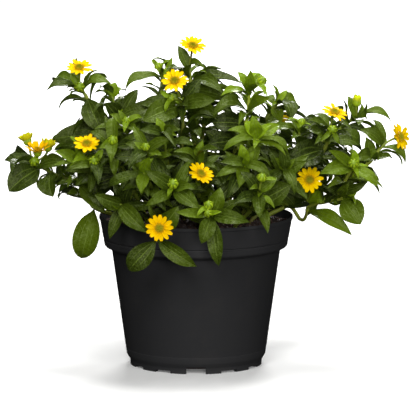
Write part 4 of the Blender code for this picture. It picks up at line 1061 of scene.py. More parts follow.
# The fine leaves. A grid is the least length that it is for, and its steps along and across the leaf. An
# outline is how slowly the leaf widens from its foot and narrows to its tip, and how much the latter varies.
LEAF_THICKNESS = 0.34
LEAF_GRIDS = ((21, 16, 8), (14, 12, 6), (0, 8, 4))
PLAIN_STEPS = 6
BROAD_OUTLINE = (1.1, 0.74, 0.22)
NARROW_OUTLINE = (0.95, 0.85, 0.3)
WIDE_FOLD = 0.42
NARROW_FOLD = 0.46
PETIOLE_SHARE = 0.06
TWIST = 14.0
CURL = 0.1
CURL_FROM = 0.62
RIPPLE = 0.2
RIPPLES = 1.6
MARGIN_POWER = 1.25
FILLER_GAP = 6.2
BACK_CROWDING = 0.65
TUFT_GAP = 9.0
SHORT_LEAF = 15.0
LOWEST_ADDED_TIP = 95.0
LOWEST_OUTER_TIP = 105.0

Leaf = namedtuple("Leaf", "base tip width face arch")


def midrib(leaf):
    """The way across a leaf, and a function that gives a point on its midrib and the way up there."""
    base, tip = leaf.base, leaf.tip
    side, upper = frame_along((tip - base).normalized(), leaf.face)
    bow = (base + tip) / 2 + upper * (2 * leaf.arch * (tip - base).length)

    def at(share):
        middle = base * (1 - share) ** 2 + bow * (2 * share * (1 - share)) + tip * share**2
        along = ((bow - base) * (1 - share) + (tip - bow) * share).normalized()
        return middle, side.cross(along).normalized()

    return side, at


def blade(leaf, thickness):
    """A leaf in its simplest form, as the solids have it: it tells whether a leaf has room."""
    small = leaf.width < SMALL_LEAF_WIDTH
    stations = SMALL_LEAF_STATIONS if small else LEAF_STATIONS
    sides = 3 if small else 4
    side, at = midrib(leaf)
    points = [leaf.base]
    for share, part in stations:
        middle, over = at(share)
        half = leaf.width * part / 2
        lift = thickness * 0.35 if small else half * LEAF_FOLD * 2
        ridge = [] if small else [middle + over * (thickness * 0.35)]
        points += [middle + over * lift - side * half, *ridge, middle + over * lift + side * half]
        points.append(middle - over * (thickness * 0.65))
    points.append(leaf.tip)
    last = len(points) - 1
    faces = [(0, 1 + (step + 1) % sides, 1 + step) for step in range(sides)]
    faces += [(last, last - sides + step, last - sides + (step + 1) % sides) for step in range(sides)]
    strips = ((0, 1), (1, 2), (0, 2)) if small else ((0, 1), (2, 1), (2, 3), (0, 3))
    for low in range(1, last - sides, sides):
        for here, there in strips:
            faces.append((low + here, low + there, low + sides + there))
            faces.append((low + here, low + sides + there, low + sides + here))
    return points, faces


def spun(profile, sides, place):
    """A small turned shape: (radius, height) points from one end of the axis to the other."""
    turns = [math.tau * step / sides for step in range(sides)]
    points = [place @ Vector((0, 0, profile[0][1]))]
    for radius, height in profile[1:-1]:
        points += [place @ Vector((radius * math.cos(a), radius * math.sin(a), height)) for a in turns]
    points.append(place @ Vector((0, 0, profile[-1][1])))
    return points, closed_rings(len(profile) - 2, sides)


def facing(centre, axis):
    """The matrix that puts a bloom's or bud's own +Z along an axis at a centre."""
    side, front = frame_along(axis, Vector((0, 1, 0)))
    turn = Matrix((side, front, axis)).transposed()
    return Matrix.Translation(centre) @ turn.to_4x4()


class Room:
    """The space that stems, blooms, buds and leaves take up, so that each new leaf finds its own."""

    def __init__(self):
        self.taken = []

    def entry(self, owner, shape, inner_faces):
        points, faces = shape
        whole = BVHTree.FromPolygons(points, faces)
        outer = BVHTree.FromPolygons(points, faces[inner_faces:]) if inner_faces else whole
        low = [min(point[axis] for point in points) for axis in range(3)]
        high = [max(point[axis] for point in points) for axis in range(3)]
        return owner, whole, outer, low, high

    def take(self, owner, shape, inner_faces=0):
        self.taken.append(self.entry(owner, shape, inner_faces))

    def fits(self, owner, shape, inner_faces):
        """Takes in a shape if it keeps clear of the rest. Its inner faces may stand in its own stem."""
        new = self.entry(owner, shape, inner_faces)
        _, whole, outer, low, high = new
        for other, other_whole, other_outer, other_low, other_high in self.taken:
            if any(low[a] > other_high[a] or high[a] < other_low[a] for a in range(3)):
                continue
            if outer.overlap(other_outer) if other == owner else whole.overlap(other_whole):
                return False
        self.taken.append(new)
        return True


def stem_room(name, spare):
    """The plain three-sided stem that the solids have, a little thicker."""
    points = path_points(name)
    rooted = "root" in SHOOTS[name]
    thick, thin = (COARSE_STEM_RADIUS, BRANCH_RADIUS) if rooted else (BRANCH_RADIUS, BRANCH_TOP_RADIUS)
    places = []
    for index in range(len(points) - 1):
        long = (points[index + 1] - points[index]).length > LONG_STEP
        places += [index, index + 0.5] if long else [index]
    places.append(len(points) - 1)
    line = [smooth_point(points, place) for place in places]
    radii = [thick + (thin - thick) * place / places[-1] + spare for place in places]
    if rooted:
        line.insert(0, Vector((points[0].x, points[0].y, ROOT_BOTTOM)))
        radii.insert(0, COARSE_STEM_RADIUS + spare)
    return tube(line, radii, 3)


def take_room_of_stems_and_blooms(room, spare):
    """The pot, soil, stems, blooms and buds, in the order in which the solids grow."""
    rim = RIM_RADIUS + 0.5
    pot_guard = (
        (0, 2),
        (BODY_FOOT_RADIUS + 0.6, 2),
        (BODY_TOP_RADIUS + 0.6, BODY_TOP_LEVEL),
        (COLLAR_FOOT_RADIUS + 0.6, BODY_TOP_LEVEL + 2.5),
        (rim, POT_HEIGHT + 0.4),
        (rim - 2.0, POT_HEIGHT + 0.4),
        (rim - 3.5, SOIL_EDGE_LEVEL + 0.6),
        (0, SOIL_MIDDLE_LEVEL + 0.6),
    )
    room.take(None, spun(pot_guard, POT_GUARD_SIDES, Matrix.Identity(4)))
    for name in SHOOTS:
        room.take(node_of(name), stem_room(name, spare))
    r = COARSE_STALK_RADIUS
    for shoot, kind, centre, axis in HEADS.values():
        line = stalk(shoot, centre - axis * SEAT_DEPTH, axis, 2)
        line += [centre - axis * 1.2, centre - axis * BLOOM_GAP]
        room.take(node_of(shoot), tube(line, [r + 0.1, r, r + 0.2, CUP_RADIUS, CUP_RADIUS], BUD_SIDES))
        if kind == "open":
            wide = BLOOM_RADIUS + 0.5
            guard = ((0, -0.5), (5.0, -0.5), (wide, 0.6), (wide, 1.9), (0, 2.6))
        else:
            length, rise = (7.0, 50) if kind == "old" else (5.6, 56)
            wide = 2.8 + length * math.cos(math.radians(rise))
            guard = ((0, -0.2), (2.5, -0.2), (wide, length), (0, length + 0.4))
        room.take(None, spun(guard, BLOOM_GUARD_SIDES, facing(centre, axis)))
    for shoot, centre, axis, radius in BUDS:
        line = stalk(shoot, centre - axis * radius, axis, 2) + [centre, centre + axis * (radius * 0.95)]
        room.take(node_of(shoot), tube(line, [r, r, 1.1, radius * 1.1, radius * 0.45], BUD_SIDES))


def joint_at(points, place):
    """A place on a shoot's path, and the way that the stem grows there."""
    joint = smooth_point(points, place)
    return joint, (joint - smooth_point(points, place - 0.1)).normalized()


def leaf_foot(joint, stem, out):
    """Where a leaf starts, inside its stem, so that the two are one growth."""
    return joint - out * LEAF_FOOT_OUT - stem * LEAF_FOOT_DOWN


def listed_leaf(name, listed):
    """Ways to place a listed leaf: as listed, or with its tip a little nearer or further back."""
    place, across, up, depth, width, turn, arch = listed
    joint, stem = joint_at(path_points(name), place)
    for shorter in LISTED_LENGTHS:
        for bend in ARCH_STEPS:
            for back in DEPTH_STEPS:
                tip = joint.lerp(seen(across, up, depth + back), shorter)
                chord = (tip - joint).normalized()
                out = (chord - stem * chord.dot(stem)).normalized()
                natural = stem * chord.dot(out) - out * chord.dot(stem)
                face = natural * (1 - abs(turn)) + Vector((0, -1, 0.15)) * turn
                yield Leaf(leaf_foot(joint, stem, out), tip, width, face, arch * bend)


def hides_bloom(leaf):
    """Whether a leaf would stand before an open bloom in the front view, where the blooms show whole."""
    for name, (_, kind, centre, axis) in HEADS.items():
        if kind != "open" or axis.y > 0 or name == "bloom_middle":
            continue
        for share in (0.45, 0.75, 1):
            gap = leaf.base.lerp(leaf.tip, share) - centre
            up = gap.z * math.cos(LOOK_DOWN) + gap.y * math.sin(LOOK_DOWN)
            if gap.y < -1 and math.hypot(gap.x, up) < BLOOM_RADIUS + 1.5:
                return True
    return False


def ruled_leaf(joint, stem, turn, length, spread, droop, slender=0.36, arch=0.16):
    """Ways to place a leaf by rule: out from the stem, turned and lifted by steps until one is clear."""
    across, other = frame_along(stem, Vector((0, 0, 1)))
    for size in (length * shorter for shorter in RULED_LENGTHS):
        for lift in LIFT_STEPS:
            for swing in SWING_STEPS:
                angle = math.radians(turn + swing)
                out = across * math.cos(angle) + other * math.sin(angle)
                open_angle = math.radians(spread + lift)
                way = stem * math.cos(open_angle) + out * math.sin(open_angle)
                tip = joint + way * size - Vector((0, 0, droop * size))
                chord = (tip - joint).normalized()
                natural = stem * chord.dot(out) - out * chord.dot(stem)
                width = min(slender * size, WIDEST_RULED_LEAF)
                leaf = Leaf(leaf_foot(joint, stem, out), tip, width, natural, arch)
                if not hides_bloom(leaf):
                    yield leaf


def place_as_solids(room, owner, candidates):
    """The first leaf offered that has room, measured on the plain leaf that the solids have."""
    spare = 2 * LEAF_CLEARANCE
    for leaf in candidates:
        wider = leaf._replace(width=leaf.width + spare)
        inner = 3 if wider.width < SMALL_LEAF_WIDTH else 4
        if room.fits(owner, blade(wider, COARSE_THICKNESS + spare), inner):
            return leaf
    return None


def leaves_of_solids():
    """Every leaf that the solids have: (shoot, share of the shoot, leaf)."""
    room, placed = Room(), []
    take_room_of_stems_and_blooms(room, LEAF_CLEARANCE)
    for name, shoot in SHOOTS.items():
        for listed in shoot.get("leaves", ()):
            leaf = place_as_solids(room, node_of(name), listed_leaf(name, listed))
            placed.append((name, listed[0] / len(shoot["path"]), leaf))
    draw = random.Random(7)
    for name, shoot in SHOOTS.items():
        points = path_points(name)
        turn = draw.uniform(0, 180)
        for place in shoot.get("pairs", ()):
            joint, stem = joint_at(points, min(place, len(points) - 1))
            share = min(place / (len(points) - 1), 1)
            length = (31 - 11 * share) * draw.uniform(0.85, 1.1)
            turn += 90
            for half in (0, 180):
                ways = ruled_leaf(joint, stem, turn + half, length, 72 - 18 * share, 0.22 - 0.1 * share)
                placed.append((name, share, place_as_solids(room, node_of(name), ways)))
    return [entry for entry in placed if entry[2]]


def leaf_sheet(leaf, along_steps, across_steps, wave):
    """The upper surface of a leaf as a grid of rows from its base to its tip, and its normals."""
    width, length = leaf.width, (leaf.tip - leaf.base).length
    side, at = midrib(leaf)
    fold = WIDE_FOLD if width > WIDEST_RULED_LEAF else NARROW_FOLD
    foot, peak, vary = BROAD_OUTLINE if width > BROAD_LEAF_WIDTH else NARROW_OUTLINE
    peak += vary * wave[0]
    fullest = (foot / (foot + peak)) ** foot * (peak / (foot + peak)) ** peak
    rows, normals = [], []
    for row in range(along_steps + 1):
        s = row / along_steps
        middle, over = at(s)
        t = max(0, (s - PETIOLE_SHARE) / (1 - PETIOLE_SHARE))
        outline = t**foot * (1 - t) ** peak / fullest
        half = max(width / 2 * outline, min(0.45, width * 0.06) * (s < 0.5))
        twist = math.radians(TWIST * wave[2]) * (s - 0.4)
        side_here = side * math.cos(twist) + over * math.sin(twist)
        over_here = over * math.cos(twist) - side * math.sin(twist)
        curl = -CURL * length * max(0, (s - CURL_FROM) / (1 - CURL_FROM)) ** 2 * (1 + wave[1])
        points = []
        for column in range(across_steps + 1):
            u = 2 * column / across_steps - 1
            lift = fold * half * abs(u) ** MARGIN_POWER
            ripple = RIPPLE * half * u * u * math.sin(math.tau * (RIPPLES * s + wave[0]) + u)
            points.append(middle + side_here * (u * half) + over_here * (lift + ripple + curl))
        rows.append(points)
        normals.append(over_here)
    return rows, normals


def grid_faces(rows, columns):
    """The faces of a grid of points that are listed row by row."""
    lows = [row * (columns + 1) + column for row in range(rows) for column in range(columns)]
    return [(low, low + 1, low + columns + 2, low + columns + 1) for low in lows]


def plain_sheet(leaf, wave):
    """A leaf's upper surface in a few faces, to tell whether the leaf has room."""
    rows, _ = leaf_sheet(leaf, PLAIN_STEPS, 2, wave)
    return [point for row in rows for point in row], grid_faces(PLAIN_STEPS, 2)


def grow_fine_leaf(growth, leaf, age, shade_and_chance, wave):
    """A closed thin leaf: upper and lower skins that meet at the margin, and a rib below."""
    size = (leaf.tip - leaf.base).length
    steps, strips = next(grid for least, *grid in LEAF_GRIDS if size > least)
    rows, normals = leaf_sheet(leaf, steps, strips, wave)
    wide = strips + 1
    points = [point for line in rows for point in line]
    places = [(column / strips, row / steps) for row in range(steps + 1) for column in range(wide)]
    # The second tone carries the leaf's painted shade.
    tones = [(age, shade_and_chance, 0)] * len(points)
    lower = {}
    thickness = LEAF_THICKNESS * min(1, leaf.width / 7)
    for row in range(steps + 1):
        lower[row, 0], lower[row, strips] = row * wide, row * wide + strips
        for column in range(1, strips):
            rib = (column == strips // 2) * 0.4 * (1 - row / steps) + 1
            lower[row, column] = len(points)
            points.append(rows[row][column] - normals[row] * (thickness * rib))
            places.append((column / strips, row / steps))
            tones.append((age, shade_and_chance, 1))
    faces = grid_faces(steps, strips)
    for row in range(steps):
        for column in range(strips):
            corners = ((row, column), (row + 1, column), (row + 1, column + 1), (row, column + 1))
            faces.append(tuple(lower[corner] for corner in corners))
    for row, order in ((0, 1), (steps, -1)):
        upper = [row * wide + column for column in range(wide)]
        under = [lower[row, column] for column in range(strips - 1, 0, -1)]
        faces.append(tuple((upper + under)[::order]))
    growth.add(points, faces, places, tones)


def wave_of(draw):
    """A leaf's random numbers for its outline and ripple, its curl and its twist."""
    return draw.random(), draw.uniform(-1, 1), draw.uniform(-1, 1)


def leaf_spots(name, points):
    """Where a shoot carries small leaves: (joint, stem, share, length, spread, slenderness)."""
    last = len(points) - 1
    jobs = [(last, 11, 24, 0.42), (last - 0.12, 14, 42, 0.38)]
    filler_gap = FILLER_GAP * (BACK_CROWDING if name.startswith("back") else 1)
    for start, gap, long, shrink, spread, slender in (
        (0.3, filler_gap, 25, 9, 62, 0.31),
        (0.2, TUFT_GAP, 12, 0, 34, 0.42),
    ):
        place = last - start
        while place > 0.3:
            jobs.append((place, long - shrink * place / last, spread, slender))
            place -= gap / (points[int(place) + 1] - points[int(place)]).length
    for place, *rest in jobs:
        place = max(place, 0.1)
        yield *joint_at(points, place), place / last, *rest
    for shoot, centre, axis, radius in BUDS:
        if shoot == name:
            foot = centre - axis * (radius * 0.8)
            yield from [(foot, axis, 1.3, 8.5, 56, 0.36)] * 2


def young_leaves(room, draw):
    """Small leaves added by rule: at the growing tips and buds, and between the larger pairs."""
    placed = []
    for name in SHOOTS:
        turn = draw.uniform(0, 180)
        for joint, stem, share, length, spread, slender in leaf_spots(name, path_points(name)):
            turn += 90 + draw.uniform(-28, 28)
            for half in (0, 180):
                size = length * draw.uniform(0.75, 1.35)
                plump = slender * draw.uniform(0.75, 1.05)
                inner = 4 if size < SHORT_LEAF else 2
                wave = wave_of(draw)
                arch = draw.uniform(0.06, 0.24)
                for leaf in ruled_leaf(joint, stem, turn + half, size, spread, 0.08, plump, arch):
                    inside = math.hypot(leaf.tip.x, leaf.tip.y) < RIM_RADIUS - 6
                    low = leaf.tip.z < (LOWEST_ADDED_TIP if inside else LOWEST_OUTER_TIP)
                    if not low and room.fits(node_of(name), plain_sheet(leaf, wave), inner):
                        placed.append((name, share, leaf, wave))
                        break
    return placed


def share_of(value):
    return min(1, max(0, value))


def place_on_sheet(tree):
    """Where a point lies on a leaf, bract or petal: across, along, and how far from the midrib."""
    place = node(tree, "SeparateXYZ", {"Vector": node(tree, "UVMap", uv_map="place")}).outputs
    half = node(tree, "Math", {0: place[0], 1: 0.5}, operation="SUBTRACT")
    return place[0], place[1], node(tree, "Math", {0: half}, operation="ABSOLUTE")


# Leaf blade: a waxy skin over green tissue, with sunken pale veins. The midrib and the two side veins
# are about 0.4 mm wide, the net between them has 1.2 mm meshes, and the underside is paler.
leaf_blade, tree, spot, tone = tissue("zinnia_leaf_blade")
_, along, from_midrib = place_on_sheet(tree)
width = {"From Min": 0.008, "From Max": 0.035, "To Min": 1, "To Max": 0}
middle_vein = node(tree, "MapRange", {"Value": from_midrib, **width})
beside = node(tree, "Math", {0: from_midrib, 1: 0.21}, operation="SUBTRACT")
from_side_vein = node(tree, "Math", {0: beside}, operation="ABSOLUTE")
width = {"From Min": 0.006, "From Max": 0.03, "To Min": 0.62, "To Max": 0}
side_vein = node(tree, "MapRange", {"Value": from_side_vein, **width})
reach = {"From Min": 0.55, "From Max": 0.9, "To Min": 1, "To Max": 0}
fade = node(tree, "MapRange", {"Value": along, **reach})
side_vein = node(tree, "Math", {0: side_vein, 1: fade}, operation="MULTIPLY")
veins = node(tree, "Math", {0: middle_vein, 1: side_vein}, operation="MAXIMUM")
size = {"Vector": spot, "Scale": 1 / (1.2 * MM)}
meshes = node(tree, "TexVoronoi", size, feature="DISTANCE_TO_EDGE")
net = node(tree, "MapRange", {"Value": meshes, "From Max": 0.12, "To Min": 0.25, "To Max": 0})
mottle = node(tree, "TexNoise", {"Vector": spot, "Scale": 1 / (5 * MM), "Detail": 6, "Roughness": 0.7})
pale = node(tree, "Math", {0: veins, 1: 0.6}, operation="MULTIPLY")
paler = node(tree, "Math", {0: pale, 1: net}, operation="ADD")
under = node(tree, "Math", {0: tone[2], 1: 0.5}, operation="MULTIPLY")
old = node(tree, "MixRGB", {"Fac": mottle, "Color1": "#0b1302", "Color2": "#2e3f09"})
# Painted shade: the second tone darkens a leaf towards near black where it stands low on its shoot or on a
# shaded shoot.
colour = node(tree, "MixRGB", {"Fac": tone[1], "Color1": "#0a1001", "Color2": old})
for share, tint in ((tone[0], "#8cac0a"), (paler, "#6c8030"), (under, "#4a6018")):
    colour = node(tree, "MixRGB", {"Fac": share, "Color1": colour, "Color2": tint})
sunk = node(tree, "Math", {0: 1, 1: veins}, operation="SUBTRACT")
waves = node(tree, "TexNoise", {"Vector": spot, "Scale": 1 / (3.5 * MM), "Detail": 3, "Roughness": 0.6})
puckered = node(tree, "Bump", {"Height": waves, "Strength": 0.9, "Distance": 1.5 * MM})
relief = node(tree, "Bump", {"Height": sunk, "Strength": 0.7, "Distance": 0.3 * MM, "Normal": puckered})
fine = node(tree, "Bump", {"Height": meshes, "Strength": 0.5, "Distance": 0.15 * MM, "Normal": relief})
range_of_gloss = {"From Min": 0.3, "From Max": 0.7, "To Min": 0.34, "To Max": 0.5}
gloss = node(tree, "MapRange", {"Value": mottle, **range_of_gloss})
waxy = {"Roughness": gloss, "IOR": 1.42, "Specular IOR Level": 0.42, "Specular Tint": "#eaf4b8"}
shader = node(tree, "BsdfPrincipled", {"Base Color": colour, "Normal": fine, **waxy})
node(tree, "OutputMaterial", {"Surface": shader})

# How fresh the broad leaves of two shoots are, and how much painted light is left on those of a shaded one.
# On left_rim the raised freshness is in part a painted sheen that lightens its hanging leaf. A leaf that is
# narrower and shorter than a full-grown one is fresher.
LIGHT_BROAD_LEAVES = {"left_rim": 0.3, "right_low": 0.1}
SHADED_LEAVES = {"front_low": 0.4}
FULL_GROWN_WIDTH = 13.5
FULL_GROWN_LENGTH = 19.0

draw = random.Random(23)
leaves, room = {}, Room()
take_room_of_stems_and_blooms(room, 0)
listed = []
for name, share, leaf in leaves_of_solids():
    wave = wave_of(draw)
    room.take(node_of(name), plain_sheet(leaf, wave), 2)
    listed.append((name, share, leaf, wave))
added = young_leaves(room, draw)
for name, share, leaf, wave in listed + added:
    young = YOUNG_SHOOTS.get(name, 0.1) * share_of(share * 1.5 - 0.5)
    young *= max(0.1, share_of((FULL_GROWN_WIDTH - leaf.width) / 5))
    # Partly painted sheen: left_rim's broad leaves are set fresher, and so lighter, than their place gives.
    if leaf.width > BROAD_LEAF_WIDTH:
        young = LIGHT_BROAD_LEAVES.get(name, young)
    tender = 0.95 * max(0, 1 - (leaf.tip - leaf.base).length / FULL_GROWN_LENGTH)
    age = share_of(young + tender + draw.uniform(-0.12, 0.12))
    # Painted shade: leaves low on a shoot get a low light share and so a darker colour, those of a shaded
    # shoot less still, with a random part.
    lit = share_of(0.2 + 0.75 * share + draw.uniform(-0.3, 0.3)) * SHADED_LEAVES.get(name, 1)
    grow_fine_leaf(leaves.setdefault(node_of(name), Growth()), leaf, age, lit, wave)
for cad_node, growth in leaves.items():
    foliage = growth.build(cad_node.replace("stem_", "leaves_"), leaf_blade)
    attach(foliage, "root")
    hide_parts(cad_node)


# Buds and cups
#
# Each bud is a round head wrapped in overlapping green bracts, and each bloom sits in a low cup of two rows
# of the same bracts. They are lime green, a little waxy, with a pale edge.

BRACT_THICKNESS = 0.2
BRACT_ALONG = 8
BRACT_ACROSS = 4
BUD_STEPS = 6
BUD_ARC = (0.5, 0.9, 1.3, 1.7, 2.1, 2.5, 2.85)


def closed_sheet(rows, columns):
    """Faces of a thin closed sheet: a grid, the same grid again after it, and the rim between the two."""
    wide, under = columns + 1, (rows + 1) * (columns + 1)
    faces = []
    for face in grid_faces(rows, columns):
        faces += [face, tuple(corner + under for corner in reversed(face))]
    rim = list(range(wide))
    rim += [row * wide + columns for row in range(1, rows + 1)]
    rim += [rows * wide + column for column in range(columns - 1, -1, -1)]
    rim += [row * wide for row in range(rows - 1, 0, -1)]
    for here, after in zip(rim, rim[1:] + rim[:1]):
        faces.append((after, here, here + under, after + under))
    return faces


def bract(growth, place, turn, width, profile, age, shade_and_chance):
    """One bract: a pointed sheet that follows a profile of (radius, height) points, with a thickness."""
    points, places = [], []
    for level in (BRACT_THICKNESS, 0):
        for row in range(BRACT_ALONG + 1):
            s = row / BRACT_ALONG
            spot = s * (len(profile) - 1)
            index = min(int(spot), len(profile) - 2)
            (near, low), (far, high) = profile[index : index + 2]
            radius = near + (far - near) * (spot - index)
            height = low + (high - low) * (spot - index)
            half = width / 2 * max(0.06, (1 - s**2.2) ** 0.8)
            for column in range(BRACT_ACROSS + 1):
                u = 2 * column / BRACT_ACROSS - 1
                angle = turn + u * half / max(radius, 0.9)
                out = radius + level * (1 - 0.5 * u * u)
                points.append(place @ Vector((out * math.cos(angle), out * math.sin(angle), height)))
                places.append((column / BRACT_ACROSS, s))
    growth.add(points, closed_sheet(BRACT_ALONG, BRACT_ACROSS), places, (age, shade_and_chance, 0))


def grow_bud(growth, draw, place, radius):
    """A closed bud: a green head inside two whorls of bracts whose tips meet over it."""
    r = radius * 0.93
    side = [(r * 0.9 * math.sin(a), -r * math.cos(a)) for a in BUD_ARC]
    growth.add(*spun([(0, -r), *side, (0, r * 0.98)], 16, place), (0.5, 0.5), (0, 0.5, 0))
    for row, (count, low, high) in enumerate(((6, 0.35, 1.8), (7, 0.6, 2.55))):
        start = draw.uniform(0, math.tau)
        size, width = r * (1.04 - 0.06 * row), r * (1.0 - 0.15 * row)
        for number in range(count):
            turn = start + math.tau * (number + 0.5 * row) / count
            span = high + draw.uniform(-0.12, 0.12)
            flare = draw.uniform(0.1, 0.6) * (1 - 0.75 * row)
            profile = []
            for share in (step / BUD_STEPS for step in range(BUD_STEPS + 1)):
                a = low + (span - low) * share
                profile.append((size * math.sin(a) + 0.05 + flare * share**4, -size * math.cos(a)))
            bract(growth, place, turn, width, profile, draw.uniform(0.45, 0.95), draw.random())


def grow_cup(growth, draw, place, kind):
    """The cup below a bloom: a green seat with an outer and an inner whorl of bracts round it."""
    wide, tall = (CUP_RADIUS, -BLOOM_GAP) if kind == "open" else (CUP_RADIUS - 0.2, 1.4)
    seat = ((0, -3.5), (0.8, -3.4), (1.6, -2.7), (wide * 0.85, -1.6), (wide * 0.9, -0.5), (0, -0.35))
    growth.add(*spun(seat, 18, place), (0.5, 0.5), (0.45, 0.5, 0))
    for row, (count, reach) in enumerate(((6, 0.0), (7, 0.35))):
        start = draw.uniform(0, math.tau)
        bulge = wide + 0.12 - 0.12 * row
        for number in range(count):
            turn = start + math.tau * number / count
            top = tall + reach + draw.uniform(-0.15, 0.15)
            if kind == "open":
                top = min(top, -0.12)
            profile = ((0.75, -3.45), (1.7, -2.85), (bulge * 0.93, -1.7), (bulge, -0.9), (bulge, top))
            bract(growth, place, turn, 2.6, profile, draw.uniform(0.45, 0.8), draw.random())


# Bract skin: smooth lime-green tissue, paler at the margin, with lines along it 0.5 mm apart.
bract_skin, tree, spot, tone = tissue("green_bract_skin")
_, _, from_midrib = place_on_sheet(tree)
margin = node(tree, "MapRange", {"Value": from_midrib, "From Min": 0.34, "From Max": 0.5, "To Max": 0.6})
mottle = node(tree, "TexNoise", {"Vector": spot, "Scale": 1 / (1.5 * MM), "Detail": 4})
green = node(tree, "MixRGB", {"Fac": mottle, "Color1": "#587408", "Color2": "#86a010"})
young = node(tree, "MixRGB", {"Fac": tone[0], "Color1": green, "Color2": "#a2bc18"})
colour = node(tree, "MixRGB", {"Fac": margin, "Color1": young, "Color2": "#a4b62c"})
place = node(tree, "UVMap", uv_map="place")
lines = node(tree, "TexWave", {"Vector": place, "Scale": 1.6, "Distortion": 1.5})
relief = node(tree, "Bump", {"Height": lines, "Strength": 0.25, "Distance": 0.06 * MM})
waxy = {"Roughness": 0.5, "IOR": 1.42}
shader = node(tree, "BsdfPrincipled", {"Base Color": colour, "Normal": relief, **waxy})
node(tree, "OutputMaterial", {"Surface": shader})

draw = random.Random(41)
bracts = {}
for shoot, centre, axis, radius in BUDS:
    grow_bud(bracts.setdefault(node_of(shoot), Growth()), draw, facing(centre, axis), radius)
for shoot, kind, centre, axis in HEADS.values():
    grow_cup(bracts.setdefault(node_of(shoot), Growth()), draw, facing(centre, axis), kind)
for cad_node, growth in bracts.items():
    heads = growth.build(cad_node.replace("stem_", "bracts_"), bract_skin)
    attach(heads, "root")
    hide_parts(cad_node)


# Ray petals
#
# Thirteen or fourteen yellow ray florets stand round an open head. Each is a thin strap with two furrows
# along it and a notched tip, more orange towards its foot, partly as painted shade. Half-open and fading
# heads hold theirs upright.

RING_INNER_RADIUS = 2.2
RAY_REACH = 8.5
RAY_COUNTS = (13, 13, 14, 14)
PETAL_ALONG = 10
PETAL_ACROSS = 8
PETAL_THICKNESS = 0.24
PETAL_NOTCH = 0.5
FURROW_DEPTH = 0.16
CUPPING = 0.1
OPEN_LIFT = 0.18
NEIGHBOUR_LIFT = 0.3

# Ten nerves stand side by side across a ray.
NERVE_TURN = 62.8

# The two whorls of a head that isn't open: number, length, rise in degrees and droop of its rays.
WHORLS = {
    "old": ((9, 7.2, 44, 0.2), (6, 6.4, 60, 0.1)),
    "half": ((10, 4.9, 34, -0.35), (8, 4.2, 46, -0.5)),
    "young": ((8, 4.2, 52, -0.9), (7, 3.8, 64, -1.0)),
}

# How orange with age and how lime green with youth a bloom's rays are, from 0 to 1. bloom_right_low gets no
# orange as painted light, to lighten a head that leaves shade.
ORANGE_BLOOMS = {"bloom_front_low": 0.35, "bloom_right_low": 0, "bloom_far_left": 0.6, "bloom_middle": 0.2}
LIME_BLOOMS = {"bloom_far_left_young": 0.7, "bloom_far_left_small": 0.6, "bloom_right_young": 0.9}


def ray_petal(growth, place, turn, form, orange, lime):
    """One ray: (foot radius, length, width, rise in degrees, droop) gives its form."""
    foot, length, width, rise, droop = form
    points, places, tones = [], [], []
    out, side = Vector((math.cos(turn), math.sin(turn), 0)), Vector((-math.sin(turn), math.cos(turn), 0))
    for level in (0, 1):
        for row in range(PETAL_ALONG + 1):
            s = row / PETAL_ALONG
            angle = math.radians(rise) - droop * s
            half = width / 2 * min(1, 0.45 + 0.9 * s) * (1 - 0.64 * max(0, (s - 0.5) / 0.5) ** 1.9)
            for column in range(PETAL_ACROSS + 1):
                u = 2 * column / PETAL_ACROSS - 1
                within = abs(u) < 0.99
                wave = math.cos(3 * math.pi * u)
                along = s * length - PETAL_NOTCH * s**4 * (0.5 - 0.5 * wave) * within
                furrow = FURROW_DEPTH * wave * math.sin(math.pi * min(1, s * 1.1 + 0.05))
                under = level * PETAL_THICKNESS * (0.3 + 0.7 * within)
                lift = CUPPING * width * u * u + furrow - under
                reach = foot + along * math.cos(angle)
                height = along * math.sin(angle) + lift
                points.append(place @ (out * reach + side * (u * half) + Vector((0, 0, height))))
                places.append((column / PETAL_ACROSS, s))
                tones.append((orange, lime, level))
    growth.add(points, closed_sheet(PETAL_ALONG, PETAL_ACROSS), places, tones)


def grow_open_rays(growth, draw, place, orange):
    count = draw.choice(RAY_COUNTS)
    start = draw.uniform(0, math.tau)
    for number in range(count):
        turn = start + math.tau * number / count + draw.uniform(-0.05, 0.05)
        length = (RAY_REACH - RING_INNER_RADIUS) * draw.uniform(0.88, 1.04)
        droop = math.radians(draw.uniform(-4, 14))
        form = (RING_INNER_RADIUS, length, draw.uniform(2.8, 3.2), draw.uniform(4, 17), droop)
        lifted = place @ Matrix.Translation((0, 0, OPEN_LIFT + NEIGHBOUR_LIFT * (number % 2)))
        ray_petal(growth, lifted, turn, form, orange, 0)


def grow_closed_rays(growth, draw, place, whorls, orange, lime):
    for row, (count, length, rise, droop) in enumerate(whorls):
        start = draw.uniform(0, math.tau)
        for number in range(count):
            turn = start + math.tau * number / count + draw.uniform(-0.1, 0.1)
            size = length * draw.uniform(0.9, 1.05)
            form = (2.1 - 0.5 * row, size, 2.7, rise + draw.uniform(-4, 4), droop)
            ray_petal(growth, place, turn, form, orange, lime)


# Ray floret: dry matt tissue in strong lemon yellow, with nerves about 0.3 mm apart that catch the light
# along the strap. It is deeper orange at the foot, partly its own colour and partly painted shade, and darker
# at the margin as a painted shadow where rays overlap. The underside is paler.
ray_skin, tree, spot, tone = tissue("yellow_ray_floret")
across, along, from_midrib = place_on_sheet(tree)
nerve = node(tree, "Math", {0: across, 1: NERVE_TURN}, operation="MULTIPLY")
nerves = node(tree, "Math", {0: nerve}, operation="SINE")
mottle = node(tree, "TexNoise", {"Vector": spot, "Scale": 1 / (2.5 * MM), "Detail": 4})
# Partly painted shade: the foot of each ray is darkened towards orange.
foot = node(tree, "MapRange", {"Value": along, "From Min": 0.0, "From Max": 0.4, "To Min": 0.6, "To Max": 0})
